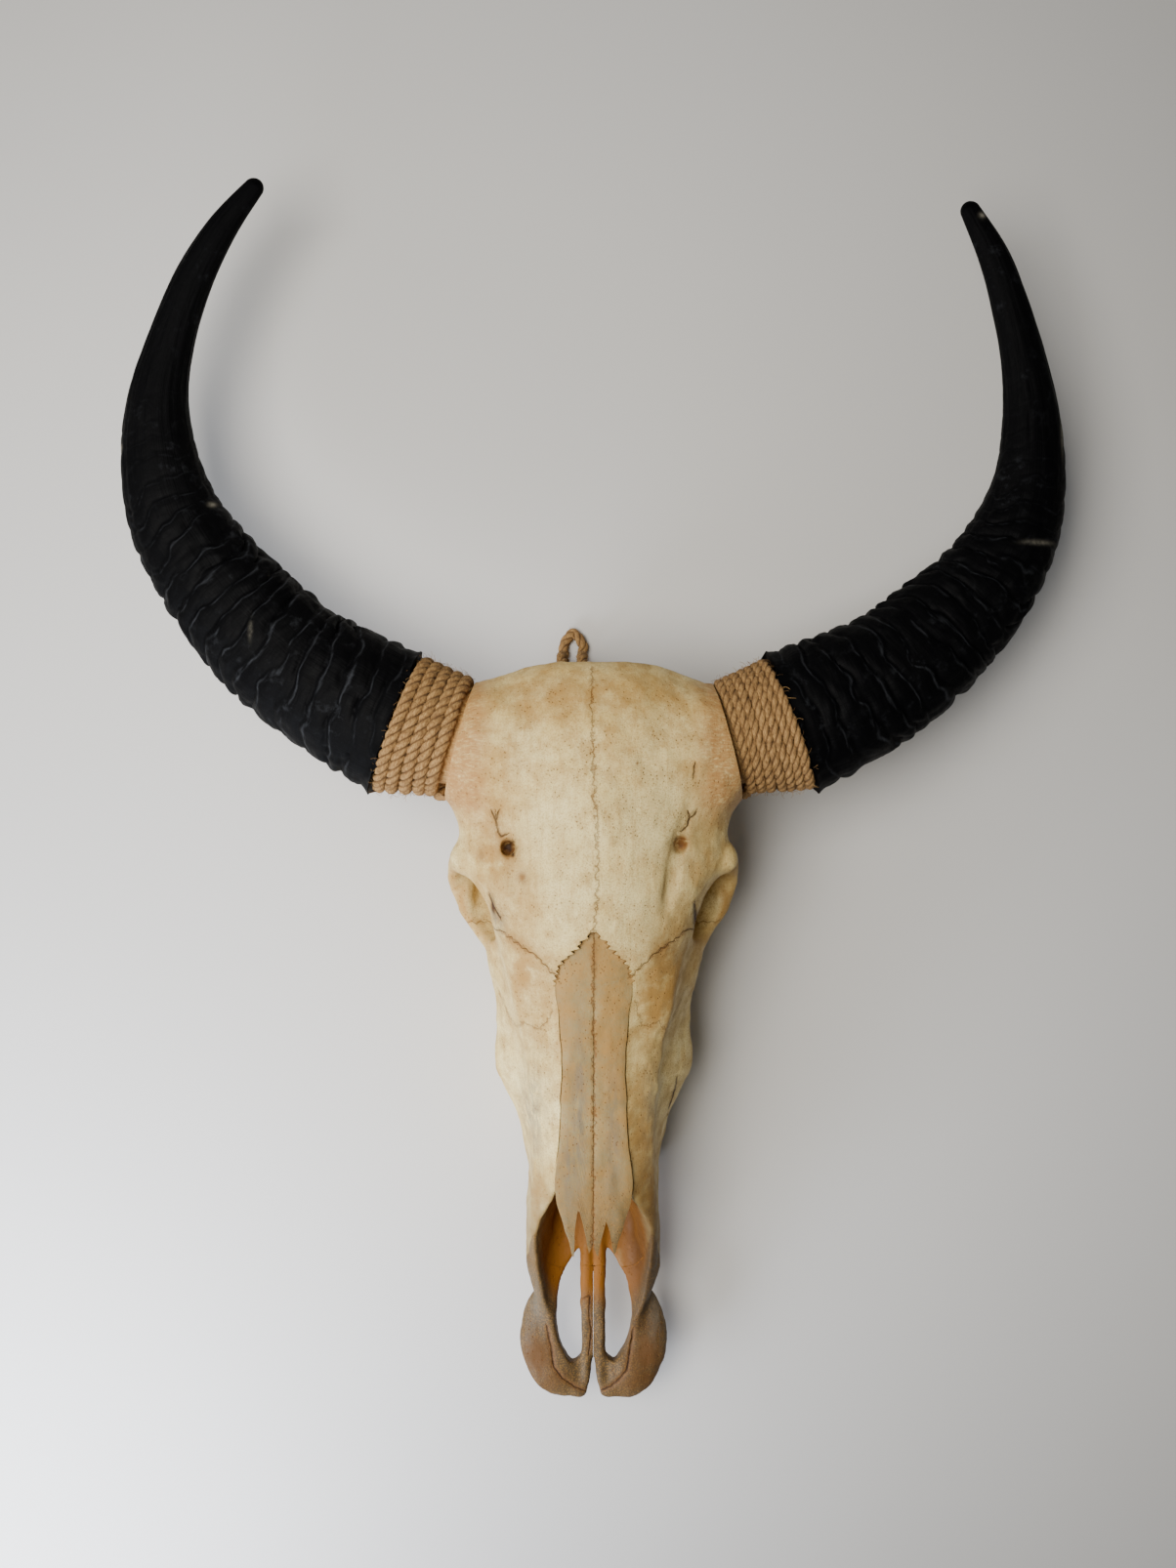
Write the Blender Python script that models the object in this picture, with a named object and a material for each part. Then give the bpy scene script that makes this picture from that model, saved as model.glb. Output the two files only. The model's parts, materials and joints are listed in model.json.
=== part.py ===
"""Skull of an adult water buffalo with its horns, at its real size in metres, resting on its cheek teeth and
the points of its jugular processes.

X runs across the skull, Y from the muzzle to the poll, and Z up from the surface it lies on. The bone is
shaped as one form on a grid of distances, which blocks then divide into the bones a person would name. The
horn cores, teeth, nasal bones, horn sheaths and rope are shapes of their own.
"""

import math
from collections import namedtuple

import bmesh
import bpy
import numpy as np
from mathutils import Matrix, Vector

# The gap between touching pieces, and the grid that the bone is shaped on
GAP = 0.0003
GRID_STEP = 0.0029
BONE_TRIANGLES = 6400

# Profiles of the skull along Y, in metres from the muzzle's end at -0.455 to the poll
POLL_Y = 0.0992
POLL_SWEEP = 600.0
NUCHAL_LEAN = 0.57
MUZZLE_Y = -0.455
ROOF_HEIGHTS = (
    (-0.45, 0.056), (-0.41, 0.057), (-0.375, 0.072), (-0.34, 0.092), (-0.31, 0.112), (-0.285, 0.127),
    (-0.25, 0.142), (-0.19, 0.163), (-0.15, 0.176), (-0.115, 0.188), (-0.085, 0.199), (-0.05, 0.209),
    (-0.015, 0.213), (0.02, 0.210), (0.05, 0.202), (0.075, 0.190), (0.10, 0.176),
)
ROOF_CROWN = (
    (-0.45, 1.0), (-0.30, 2.0), (-0.19, 4.0), (-0.115, 6.5), (-0.085, 7.5), (-0.05, 6.2), (0.0, 6.6),
    (0.10, 7.5),
)
BROW_WIDTHS = (
    (-0.16, 0.030), (-0.12, 0.042), (-0.095, 0.054), (-0.078, 0.061), (-0.060, 0.076), (-0.044, 0.0960),
    (-0.034, 0.0945), (-0.015, 0.0925), (0.01, 0.092), (0.10, 0.088),
)
NASAL_EDGE_WIDTHS = (
    (-0.45, 0.034), (-0.38, 0.038), (-0.30, 0.0425), (-0.27, 0.031), (-0.19, 0.025), (-0.15, 0.028),
    (-0.085, 0.045),
)
SHOULDER_WIDTHS = (
    (-0.45, 0.045), (-0.385, 0.0512), (-0.36, 0.0500), (-0.30, 0.0470), (-0.25, 0.0430), (-0.19, 0.047),
    (-0.15, 0.054), (-0.085, 0.067),
)
CREST_WIDTHS = (
    (-0.45, 0.047), (-0.385, 0.0520), (-0.36, 0.0512), (-0.33, 0.0502), (-0.30, 0.0492), (-0.262, 0.0490),
    (-0.235, 0.0545), (-0.215, 0.0635),
    (-0.193, 0.0712), (-0.165, 0.0680), (-0.12, 0.0712), (-0.085, 0.071),
)
JAW_WIDTHS = (
    (-0.45, 0.040), (-0.30, 0.0455), (-0.28, 0.0485), (-0.25, 0.0565), (-0.215, 0.0605), (-0.16, 0.066),
    (-0.14, 0.066), (-0.11, 0.060), (-0.08, 0.052),
)
CREST_HEIGHTS = ((-0.45, 0.060), (-0.34, 0.072), (-0.25, 0.078), (-0.19, 0.088), (-0.085, 0.112))
UNDER_HEIGHTS = (
    (-0.45, 0.040), (-0.31, 0.043), (-0.298, 0.037), (-0.286, 0.020), (-0.27, 0.017), (-0.14, 0.016),
    (-0.125, 0.022), (-0.108, 0.040), (-0.09, 0.056), (-0.07, 0.070),
)
SHOULDER_DROP = 0.022

# The eye socket and the openings of the nose
ORBIT_CENTRE = Vector((0.0805, -0.0735, 0.1275))
ORBIT_AXIS = Vector((0.80, -0.46, 0.42)).normalized()
ORBIT_RADIUS = 0.0300
CAVITY_WIDTHS = (
    (-0.42, 0.026), (-0.39, 0.0315), (-0.362, 0.0372), (-0.305, 0.0376), (-0.285, 0.0280), (-0.27, 0.0225),
    (-0.19, 0.0190),
)
CAVITY_FLOOR = 0.056
FISSURE_REAR = -0.335
FISSURE_FRONT = -0.4243
FISSURE_INNER_EDGE = ((-0.4243, 0.0150), (-0.418, 0.0095), (-0.40, 0.0084), (-0.36, 0.0084), (-0.335, 0.0088))
FISSURE_OUTER_EDGE = (
    (-0.4243, 0.0165), (-0.412, 0.0235), (-0.395, 0.0280), (-0.38, 0.0284), (-0.364, 0.0252),
    (-0.348, 0.0175), (-0.335, 0.0095),
)

# The nasal bones lie in a bed in the roof of the nose, with free, forked tips
NASAL_WIDTHS = (
    (-0.327, 0.0155), (-0.30, 0.0222), (-0.284, 0.0268), (-0.243, 0.0250), (-0.182, 0.0220), (-0.14, 0.0245),
    (-0.125, 0.0262), (-0.118, 0.0258), (-0.112, 0.0235), (-0.103, 0.0160), (-0.095, 0.0085),
    (-0.0875, 0.0015),
)
NASAL_TOPS = (
    (-0.33, 0.1245), (-0.29, 0.1325), (-0.25, 0.1432), (-0.19, 0.1640), (-0.15, 0.1770), (-0.115, 0.1890),
    (-0.0875, 0.1985),
)
NASAL_THICKNESS = 0.0048
NASAL_REAR = -0.0875
NASAL_FRONT = -0.3265
NASAL_ROWS = 16
NASAL_COLUMNS = 3
NASAL_FORK = ((0.0092, -0.292), (0.0148, -0.332), (0.0052, -0.332))

# Six cheek teeth on each side, front to back, worn flat at the surface that the skull lies on
TOOTH_LENGTHS = (0.016, 0.0190, 0.0205, 0.0255, 0.0295, 0.0325)
TOOTH_WIDTHS = (0.015, 0.0180, 0.0205, 0.0235, 0.0250, 0.0240)
TOOTH_ROW_START = -0.284
TOOTH_ROW_X = ((-0.284, 0.0370), (-0.23, 0.0450), (-0.18, 0.0505), (-0.138, 0.0520))
TOOTH_LEVELS = ((0, 0.90), (0.004, 1.0), (0.026, 0.98))
TOOTH_OUTLINE = (
    (-1, -0.75), (-0.55, -1), (0.55, -1), (1, -0.75), (1, 0.70), (0.5, 1.0), (0, 0.78), (-0.5, 1.0),
    (-1, 0.70),
)
TOOTH_SPACE = 0.0006

# Each horn core runs out under a rope binding to the base of its sheath. Angles are those seen from above
CORE_START = Vector((0.066, 0.0365, 0.1470))
BINDING_START = Vector((0.0927, 0.0434, 0.1425))
BINDING_END = Vector((0.1394, 0.0543, 0.1355))
BINDING_START_TURN = math.radians(14.5)
BINDING_END_TURN = math.radians(20.5)
CORE_START_RADIUS = 0.0330
CORE_END_RADIUS = 0.0425
CORE_ROOT_INSET = 0.003
CORE_FLATNESS = 0.82
CORE_SIDES = 20
ROPE_DIAMETER = 0.008
ROPE_BITE = 0.0006
BINDING_TURNS = {"left": 5, "right": 7}
BINDING_THICKNESS = {"left": 0.0096, "right": 0.0080}
STEPS_PER_TURN = 4
TURN_HOLLOW = 0.0026
BINDING_CLEARANCE = 0.00042

# Each sheath's centreline in the order base to tip, with its width there
HORN_ROUTES = {
    "left": (
        (-0.1767, 0.0752, 0.128), (-0.2148, 0.0987, 0.120), (-0.2478, 0.1301, 0.112),
        (-0.2772, 0.1639, 0.106), (-0.3022, 0.2025, 0.103), (-0.3143, 0.2458, 0.102),
        (-0.3157, 0.2905, 0.102), (-0.3056, 0.3348, 0.103), (-0.2904, 0.3756, 0.104),
        (-0.2683, 0.4142, 0.105), (-0.2410, 0.4480, 0.106),
    ),
    "right": (
        (0.1805, 0.0731, 0.128), (0.2180, 0.0945, 0.120), (0.2510, 0.1224, 0.112),
        (0.2812, 0.1533, 0.106), (0.3043, 0.1905, 0.103), (0.3160, 0.2310, 0.102),
        (0.3175, 0.2735, 0.102), (0.3120, 0.3150, 0.103), (0.3022, 0.3558, 0.104),
        (0.2885, 0.3951, 0.105), (0.2690, 0.4320, 0.106),
    ),
}
HORN_WIDTHS = {
    "left": (0.1030, 0.0974, 0.0910, 0.0868, 0.0786, 0.0686, 0.0562, 0.0436, 0.0336, 0.0287, 0.0220, 0.0130),
    "right": (0.1030, 0.0974, 0.0900, 0.0838, 0.0741, 0.0642, 0.0520, 0.0418, 0.0330, 0.0272, 0.0222, 0.0130),
}
HORN_FLATNESS = 0.72
HORN_STATIONS = 30
HORN_SIDES = 18
RIDGE_DEPTH = 0.0018
RIDGE_SPACING = 0.026
RIDGED_SHARE = 0.42

# The hanging loop leaves two drilled holes in the back of the skull, drops to the surface and lies on it
LOOP_RADIUS = ROPE_DIAMETER / 2
HOLE_RADIUS = 0.0046
HOLE_FLOOR_Y = 0.056
LOOP_LEG_X = (-0.0228, -0.0083)
LOOP_LEG = (
    (0.0565, 0.118), (0.074, 0.118), (0.0935, 0.1179), (0.1025, 0.1085), (0.1050, 0.085), (0.1045, 0.052),
    (0.1045, 0.024), (0.1075, 0.0090), (0.1135, 0.0045), (0.1205, 0.0043),
)
LOOP_TOP_Y = 0.1293
LOOP_POINTS = 50

# Where the bones part: the seam behind the face as (x, y) from above, the others as (y, z) from the side
FRONTAL_SEAM = (
    (0.20, -0.085), (0.0640, -0.0890), (0.0385, -0.1056), (0.0220, -0.1225), (0.0, -0.0879),
)
PREMAXILLA_SEAM = ((-0.2350, 0.20), (-0.3975, 0.0))
CHEEKBONE_OUTLINE = (
    (-0.150, 0.078), (-0.148, 0.090), (-0.101, 0.119), (-0.080, 0.112), (-0.055, 0.125), (-0.029, 0.125),
    (-0.0215, 0.108), (-0.0215, 0.068), (-0.140, 0.068),
)
CHEEKBONE_INNER_X = 0.0605

# How far the blocks and drills that shape the bones reach
BLOCK_WIDTH = 0.20
BLOCK_FRONT = -0.50
BLOCK_REAR = 0.20
BLOCK_HEIGHT = 0.26
DRILL_LENGTH = 0.08

# Each finish as a name, a linear colour and a roughness
BONE = ("bone", (0.60, 0.50, 0.34), 0.62)
STAINED_BONE = ("stained_bone", (0.42, 0.28, 0.15), 0.60)
HORN = ("horn", (0.006, 0.006, 0.007), 0.42)
ROPE = ("rope", (0.33, 0.20, 0.10), 0.92)

Form = namedtuple("Form", "distance low high")


def curve(stations):
    """A smooth function through (place, value) stations, level beyond its ends."""
    places, values = np.array(stations, np.float32).T
    slopes = np.gradient(values, places)

    def at(place):
        index = np.clip(np.searchsorted(places, place) - 1, 0, len(places) - 2)
        width = places[index + 1] - places[index]
        t = np.clip((place - places[index]) / width, 0, 1)
        rise = t * t * (3 - 2 * t)
        ease_in = t * (1 - t) ** 2 * width * slopes[index]
        ease_out = t * t * (1 - t) * width * slopes[index + 1]
        return values[index] * (1 - rise) + values[index + 1] * rise + ease_in - ease_out

    return at


roof = curve(ROOF_HEIGHTS)
crown = curve(ROOF_CROWN)
nasal_top = curve(NASAL_TOPS)
nasal_width = curve(NASAL_WIDTHS)


def smooth_max(a, b, blend):
    """The larger of two distances, rounded over a fillet of about the blend's size."""
    share = np.clip(0.5 + 0.5 * (a - b) / blend, 0, 1)
    return b * (1 - share) + a * share + blend * share * (1 - share)


def smooth_min(a, b, blend):
    return -smooth_max(-a, -b, blend)


class Clay:
    """The right half of the bone on a grid of distances, negative inside it. The left half mirrors it."""

    def __init__(self, low, high, step):
        self.step = step
        self.axes = [np.arange(a, b + step, step, dtype=np.float32) for a, b in zip(low, high)]
        self.field = np.full([len(axis) for axis in self.axes], 0.05, np.float32)

    def window(self, form, margin):
        bounds = []
        for axis, low, high in zip(self.axes, form.low, form.high):
            bounds.append(np.searchsorted(axis, (low - margin, high + margin)))
        parts = tuple(slice(a, b) for a, b in bounds)
        x, y, z = (axis[part] for axis, part in zip(self.axes, parts))
        return parts, form.distance(x[:, None, None], y[None, :, None], z[None, None, :])

    def add(self, form, blend=0.006):
        parts, distance = self.window(form, 0.02 + blend)
        self.field[parts] = smooth_min(self.field[parts], distance, blend)

    def cut(self, form, blend=0.003):
        parts, distance = self.window(form, 0.004 + blend)
        self.field[parts] = smooth_max(self.field[parts], -distance, blend)

    def soften(self):
        """Rounds creases without moving flat surfaces."""
        for axis in range(3):
            middle = [slice(None)] * 3
            before, after = list(middle), list(middle)
            middle[axis], before[axis], after[axis] = slice(1, -1), slice(None, -2), slice(2, None)
            mixed = (self.field[tuple(before)] + 2 * self.field[tuple(middle)] + self.field[tuple(after)]) / 4
            self.field = self.field.copy()
            self.field[tuple(middle)] = mixed

    def surface(self):
        """(points, quads) of both halves, with one point in each grid cell that the surface crosses."""
        field = np.concatenate([self.field[:0:-1], self.field])
        low = np.array([-self.axes[0][-1], self.axes[1][0], self.axes[2][0]])
        inside = field < 0
        shape = [n - 1 for n in field.shape]
        corners = [(i, j, k) for i in (0, 1) for j in (0, 1) for k in (0, 1)]
        shifted = (inside[tuple(slice(o, o + n) for o, n in zip(corner, shape))] for corner in corners)
        count = sum(part.astype(np.int8) for part in shifted)
        cells = np.argwhere((count > 0) & (count < len(corners)))
        number = np.full(shape, -1, np.int64)
        number[tuple(cells.T)] = np.arange(len(cells))
        total, crossings = np.zeros((len(cells), 3)), np.zeros(len(cells))
        for start in corners:
            for axis in (n for n in range(3) if not start[n]):
                end = tuple(1 if n == axis else value for n, value in enumerate(start))
                a, b = field[tuple((cells + start).T)], field[tuple((cells + end).T)]
                crossed = (a < 0) != (b < 0)
                share = np.where(crossed, a / np.where(crossed, a - b, 1), 0)
                total += (np.array(start, float) + share[:, None] * np.eye(3)[axis]) * crossed[:, None]
                crossings += crossed
        points = low + (cells + total / crossings[:, None]) * self.step
        return points, np.concatenate([quads_across(inside, number, axis) for axis in range(3)])


def quads_across(inside, number, axis):
    """A quad around each grid edge along an axis that crosses the surface, facing out."""
    one, two = (n for n in range(3) if n != axis)
    head = [slice(1, -1)] * 3
    head[axis] = slice(0, -1)
    tail = list(head)
    tail[axis] = slice(1, None)
    a, b = inside[tuple(head)], inside[tuple(tail)]
    quads = []
    for crossed, turned in ((a & ~b, axis == 1), (b & ~a, axis != 1)):
        at = np.argwhere(crossed)
        at[:, [one, two]] += 1
        ring = []
        for back_one, back_two in ((1, 1), (0, 1), (0, 0), (1, 0)):
            cell = at.copy()
            cell[:, one] -= back_one
            cell[:, two] -= back_two
            ring.append(number[tuple(cell.T)])
        ring = np.stack(ring, 1)
        quads.append(ring[:, ::-1] if turned else ring)
    return np.concatenate(quads)


def ellipsoid(centre, radii, axis=None):
    """An ellipsoid. With an axis, its third radius lies along it."""
    centre, radii = np.array(centre, np.float32), np.array(radii, np.float32)
    frame = np.eye(3, dtype=np.float32)
    if axis is not None:
        frame = np.array(Vector(axis).to_track_quat("Z", "Y").to_matrix().transposed(), np.float32)

    def distance(x, y, z):
        p = (x - centre[0], y - centre[1], z - centre[2])
        turned = [sum(row[n] * p[n] for n in range(3)) for row in frame]
        near = np.sqrt(sum((t / r) ** 2 for t, r in zip(turned, radii)))
        far = np.sqrt(sum((t / r**2) ** 2 for t, r in zip(turned, radii)))
        return near * (near - 1) / np.maximum(far, 1e-6)

    reach = np.sqrt(((frame * radii[:, None]) ** 2).sum(0))
    return Form(distance, centre - reach, centre + reach)


def bar(points, radii, squash=(1, 1, 1), joint=0.004):
    """Round bars from point to point, each tapering to the next radius, narrowed by squash on each axis."""
    points, squash = np.array(points, np.float32), np.array(squash, np.float32)

    def distance(x, y, z):
        best = None
        for a, b, ra, rb in zip(points, points[1:], radii, radii[1:]):
            a, b = a / squash, b / squash
            d = b - a
            p = (x / squash[0] - a[0], y / squash[1] - a[1], z / squash[2] - a[2])
            t = np.clip(sum(p[n] * d[n] for n in range(3)) / (d @ d), 0, 1)
            gap = np.sqrt(sum((p[n] - t * d[n]) ** 2 for n in range(3))) - (ra + (rb - ra) * t)
            best = gap if best is None else smooth_min(best, gap, joint)
        return best * squash.min()

    reach = max(radii) * squash
    return Form(distance, points.min(0) - reach, points.max(0) + reach)


def hoop(centre, axis, radius, thickness):
    """A round hoop about an axis."""
    centre, axis = np.array(centre, np.float32), np.array(axis, np.float32)

    def distance(x, y, z):
        p = (x - centre[0], y - centre[1], z - centre[2])
        along = sum(p[n] * axis[n] for n in range(3))
        out = np.sqrt(np.maximum(sum(c * c for c in p) - along**2, 0))
        return np.hypot(out - radius, along) - thickness

    reach = radius + thickness
    return Form(distance, centre - reach, centre + reach)


def cranial_roof():
    """The broad frontal shelf from the brows to the poll, its nuchal face leaning in below."""
    brow = curve(BROW_WIDTHS)

    def distance(x, y, z):
        curvature = crown(y)
        top = (z - (roof(y) - curvature * x**2)) / np.sqrt(1 + (2 * curvature * x) ** 2)
        side = (x - brow(y)) * 0.9
        under = 0.146 - z
        back = y - (POLL_Y - POLL_SWEEP * x**4) - np.minimum(z - 0.155, 0) * NUCHAL_LEAN
        front = -0.12 - y
        body = smooth_max(smooth_max(top, side, 0.012), under, 0.006)
        return smooth_max(smooth_max(body, back, 0.032), front, 0.03)

    return Form(distance, (0, -0.12, 0.13), (0.11, 0.10, 0.22))


def face_half_width(y, z):
    """How far the face's wall stands from the midline at a height, from the jaw up to the nasal edge."""
    top = roof(y)
    levels = (curve(UNDER_HEIGHTS)(y), curve(CREST_HEIGHTS)(y), top - SHOULDER_DROP, top)
    widths = [curve(w)(y) for w in (JAW_WIDTHS, CREST_WIDTHS, SHOULDER_WIDTHS, NASAL_EDGE_WIDTHS)]
    half = widths[0] + 0 * z
    for low, high, narrow, wide in zip(levels, levels[1:], widths, widths[1:]):
        t = np.clip((z - low) / np.maximum(high - low, 0.004), 0, 1)
        half = half + (wide - narrow) * t * t * (3 - 2 * t)
    return half


def face():
    """The long tapering face, from between the eye sockets to the muzzle."""
    under = curve(UNDER_HEIGHTS)

    def distance(x, y, z):
        top = z - (roof(y) - crown(y) * x**2)
        side = (x - face_half_width(y, z)) * 0.85
        low = under(y) - z
        ends = np.maximum(y + 0.060, MUZZLE_Y + 0.035 - y)
        return smooth_max(smooth_max(smooth_max(top, side, 0.010), low, 0.006), ends, 0.008)

    return Form(distance, (0, MUZZLE_Y + 0.03, 0.01), (0.08, -0.06, 0.21))


def nasal_cavity():
    """The nasal passage, open upward where the nasal bones roof it and ahead of them."""
    width = curve(CAVITY_WIDTHS)

    def distance(x, y, z):
        rim = np.minimum(roof(y), 0.115) - 0.008
        half = width(y) - 0.0095 * np.clip((rim - z) / 0.03, 0, 1)
        ends = np.maximum(y + 0.190, -0.424 - y)
        return smooth_max(smooth_max(x - half, CAVITY_FLOOR - z, 0.012), ends, 0.02)

    return Form(distance, (0, -0.43, CAVITY_FLOOR), (0.045, -0.19, 0.20))


def palatine_fissure():
    """The long drop-shaped opening beside the midline, clear through the floor of the nose."""
    inner, outer = curve(FISSURE_INNER_EDGE), curve(FISSURE_OUTER_EDGE)

    def distance(x, y, z):
        sides = np.maximum(inner(y) - x, (x - outer(y)) * 0.8)
        ends = np.maximum(y - FISSURE_REAR, FISSURE_FRONT - y)
        return smooth_max(sides, ends, 0.002) + 0 * z

    return Form(distance, (0.0084, FISSURE_FRONT, 0.02), (0.0284, FISSURE_REAR, 0.09))


def add_base(clay):
    """The nuchal face, condyles, jugular processes, ear bones and the floor of the braincase."""
    clay.add(ellipsoid((0, 0.052, 0.108), (0.066, 0.030, 0.052)), 0.012)
    clay.add(ellipsoid((0.052, 0.040, 0.098), (0.024, 0.022, 0.030)), 0.010)
    floor = [(0, 0.062, 0.064), (0, 0.0, 0.064), (0, -0.07, 0.066)]
    clay.add(bar(floor, [0.021, 0.017, 0.013], (1, 1, 0.8)), 0.012)
    clay.add(ellipsoid((0.0245, 0.071, 0.056), (0.016, 0.019, 0.026), (0.35, -0.2, 1)), 0.006)
    jugular = [(0.054, 0.042, 0.090), (0.057, 0.050, 0.045), (0.053, 0.050, 0.006)]
    clay.add(bar(jugular, [0.017, 0.012, 0.009], (0.8, 1, 1)), 0.008)
    clay.add(ellipsoid((0.040, 0.012, 0.056), (0.012, 0.020, 0.019)), 0.006)
    clay.add(bar([(0.045, 0.018, 0.075), (0.074, 0.026, 0.086)], [0.012, 0.0085]), 0.008)
    clay.cut(bar([(0.060, 0.0235, 0.083), (0.090, 0.030, 0.090)], [0.0035, 0.0045]), 0.002)
    clay.cut(ellipsoid((0, 0.082, 0.079), (0.0185, 0.045, 0.0165)), 0.004)


def add_eye_region(clay):
    """The eye socket with its rim, the bar behind it, and the cheekbone running back to the ear."""
    clay.add(ellipsoid((0.0595, -0.100, 0.108), (0.0165, 0.034, 0.022)), 0.012)
    cheek = [(0.084, -0.076, 0.101), (0.0675, -0.110, 0.100), (0.062, -0.160, 0.092), (0.0635, -0.193, 0.087)]
    clay.add(bar(cheek, [0.008, 0.007, 0.006, 0.006]), 0.008)
    clay.add(bar([(0.058, 0.004, 0.084), (0.080, 0.002, 0.083)], [0.014, 0.011], (1, 1.2, 0.8)), 0.010)
    clay.add(hoop(ORBIT_CENTRE, ORBIT_AXIS, ORBIT_RADIUS + 0.0022, 0.0044), 0.008)
    clay.add(ellipsoid((0.0795, -0.073, 0.088), (0.0135, 0.021, 0.011)), 0.008)
    clay.add(bar([(0.078, -0.060, 0.086), (0.048, -0.055, 0.080)], [0.012, 0.014]), 0.008)
    socket = ORBIT_CENTRE - ORBIT_AXIS * 0.016
    clay.cut(ellipsoid(socket, (ORBIT_RADIUS, ORBIT_RADIUS, 0.044), ORBIT_AXIS), 0.003)
    rear_bar = [(0.0935, -0.040, 0.150), (0.0955, -0.041, 0.126), (0.0935, -0.044, 0.101)]
    clay.add(bar(rear_bar, [0.0085, 0.0065, 0.0085], (0.8, 1, 1)), 0.008)
    arch = [(0.079, 0.006, 0.083), (0.0895, -0.018, 0.088), (0.0935, -0.046, 0.098), (0.0915, -0.072, 0.098)]
    clay.add(bar(arch, [0.0085, 0.0085, 0.0105, 0.0085], (0.62, 1, 1)), 0.006)
    clay.cut(ellipsoid((0.0585, -0.031, 0.1925), (0.0040, 0.0050, 0.012)), 0.002)
    groove = [(0.0655, 0.004, 0.1890), (0.0595, -0.030, 0.1965), (0.050, -0.072, 0.1930)]
    clay.cut(bar(groove, [0.0035, 0.0060, 0.0030]), 0.006)


def add_core_roots(clay):
    """The roots of the horn cores, swelling out of the back of the forehead."""
    clay.add(bar([(0.040, 0.030, 0.150), (0.0927, 0.0434, 0.1425), (0.112, 0.048, 0.140)],
                 [0.044, 0.0375, 0.0375], (1, 1, 0.82)), 0.030)
    clay.add(ellipsoid((0.070, 0.030, 0.168), (0.032, 0.036, 0.020)), 0.02)


def add_palate(clay):
    """The vaulted palate, the rear openings of the nose, and the plates beside them."""
    clay.cut(ellipsoid((0, -0.200, 0.004), (0.0425, 0.130, 0.036)), 0.008)
    clay.cut(ellipsoid((0, -0.072, 0.036), (0.0195, 0.052, 0.022)), 0.006)
    clay.add(ellipsoid((0.0265, -0.078, 0.050), (0.0058, 0.036, 0.024)), 0.008)
    clay.cut(ellipsoid((0.0545, -0.243, 0.064), (0.007, 0.012, 0.0055)), 0.003)


def add_muzzle(clay):
    """The open nose, the spoon-ended bodies of the premaxillae and the two bars along the midline."""
    clay.cut(nasal_cavity(), 0.004)
    clay.add(ellipsoid((0.0330, -0.4060, 0.0490), (0.0225, 0.040, 0.0088)), 0.006)
    clay.add(ellipsoid((0.0225, -0.4340, 0.0470), (0.0190, 0.019, 0.0068)), 0.008)
    clay.add(ellipsoid((0.0105, -0.4440, 0.0465), (0.0085, 0.0095, 0.0056)), 0.004)
    clay.cut(palatine_fissure(), 0.002)
    clay.add(bar([(0.0052, -0.438, 0.0485), (0.0050, -0.38, 0.0520), (0.0046, -0.27, 0.0560)],
                 [0.0046, 0.0040, 0.0040], (1, 1, 1.3)), 0.003)
    clay.cut(bar([(0, -0.470, 0.048), (0, -0.448, 0.048), (0, -0.424, 0.049)], [0.0050, 0.0036, 0.0006],
                 (1, 1, 8)), 0.001)


def bone_form():
    """The bony skull as one closed guide, without teeth, nasal bones and the ends of the horn cores."""
    clay = Clay((0, MUZZLE_Y - 0.012, -0.012), (0.165, 0.112, 0.228), GRID_STEP)
    clay.add(cranial_roof())
    clay.add(ellipsoid((0, 0.022, 0.122), (0.060, 0.070, 0.062)), 0.012)
    clay.add(face(), 0.020)
    add_base(clay)
    clay.cut(ellipsoid((0.094, 0.000, 0.117), (0.034, 0.043, 0.028)), 0.008)
    add_eye_region(clay)
    add_core_roots(clay)
    add_palate(clay)
    add_muzzle(clay)
    clay.soften()
    points, quads = clay.surface()
    mesh = bpy.data.meshes.new("bone_form")
    mesh.from_pydata(points.tolist(), [], quads.tolist())
    form = guide(mesh)
    decimate = form.modifiers.new("fewer_triangles", "DECIMATE")
    decimate.ratio = BONE_TRIANGLES / (2 * len(quads))
    return form


def new_object(name, mesh):
    made = bpy.data.objects.new(name, mesh)
    bpy.context.scene.collection.objects.link(made)
    return made


def guide(mesh):
    """An object that only cuts or fills others, named as its mesh is."""
    made = new_object(mesh.name, mesh)
    made.hide_render = True
    made.display_type = "WIRE"
    return made


def side_block(name, outline, low_x, high_x):
    """A guide block of a (y, z) outline between two places across the skull."""
    return guide(loft(name, [[(x, y, z) for y, z in outline] for x in (low_x, high_x)]))


def upright_block(name, outline):
    """A guide block of an (x, y) outline, from the surface that the skull lies on to above the skull."""
    return guide(loft(name, [[(x, y, z) for x, y in outline] for z in (0, BLOCK_HEIGHT)]))


def moved_line(line, distance, closed=False):
    """A line whose sides all stand a distance to the right of where they were, as they are followed."""
    points = [Vector(point) for point in line]
    moved = []
    for n, here in enumerate(points):
        before = points[n - 1] if n or closed else 2 * here - points[1]
        after = points[(n + 1) % len(points)] if n + 1 < len(points) or closed else 2 * here - points[n - 1]
        rights = [Vector((side.y, -side.x)).normalized() for side in (here - before, after - here)]
        moved.append(tuple(here + (rights[0] + rights[1]) * distance / (1 + rights[0].dot(rights[1]))))
    return moved


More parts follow.
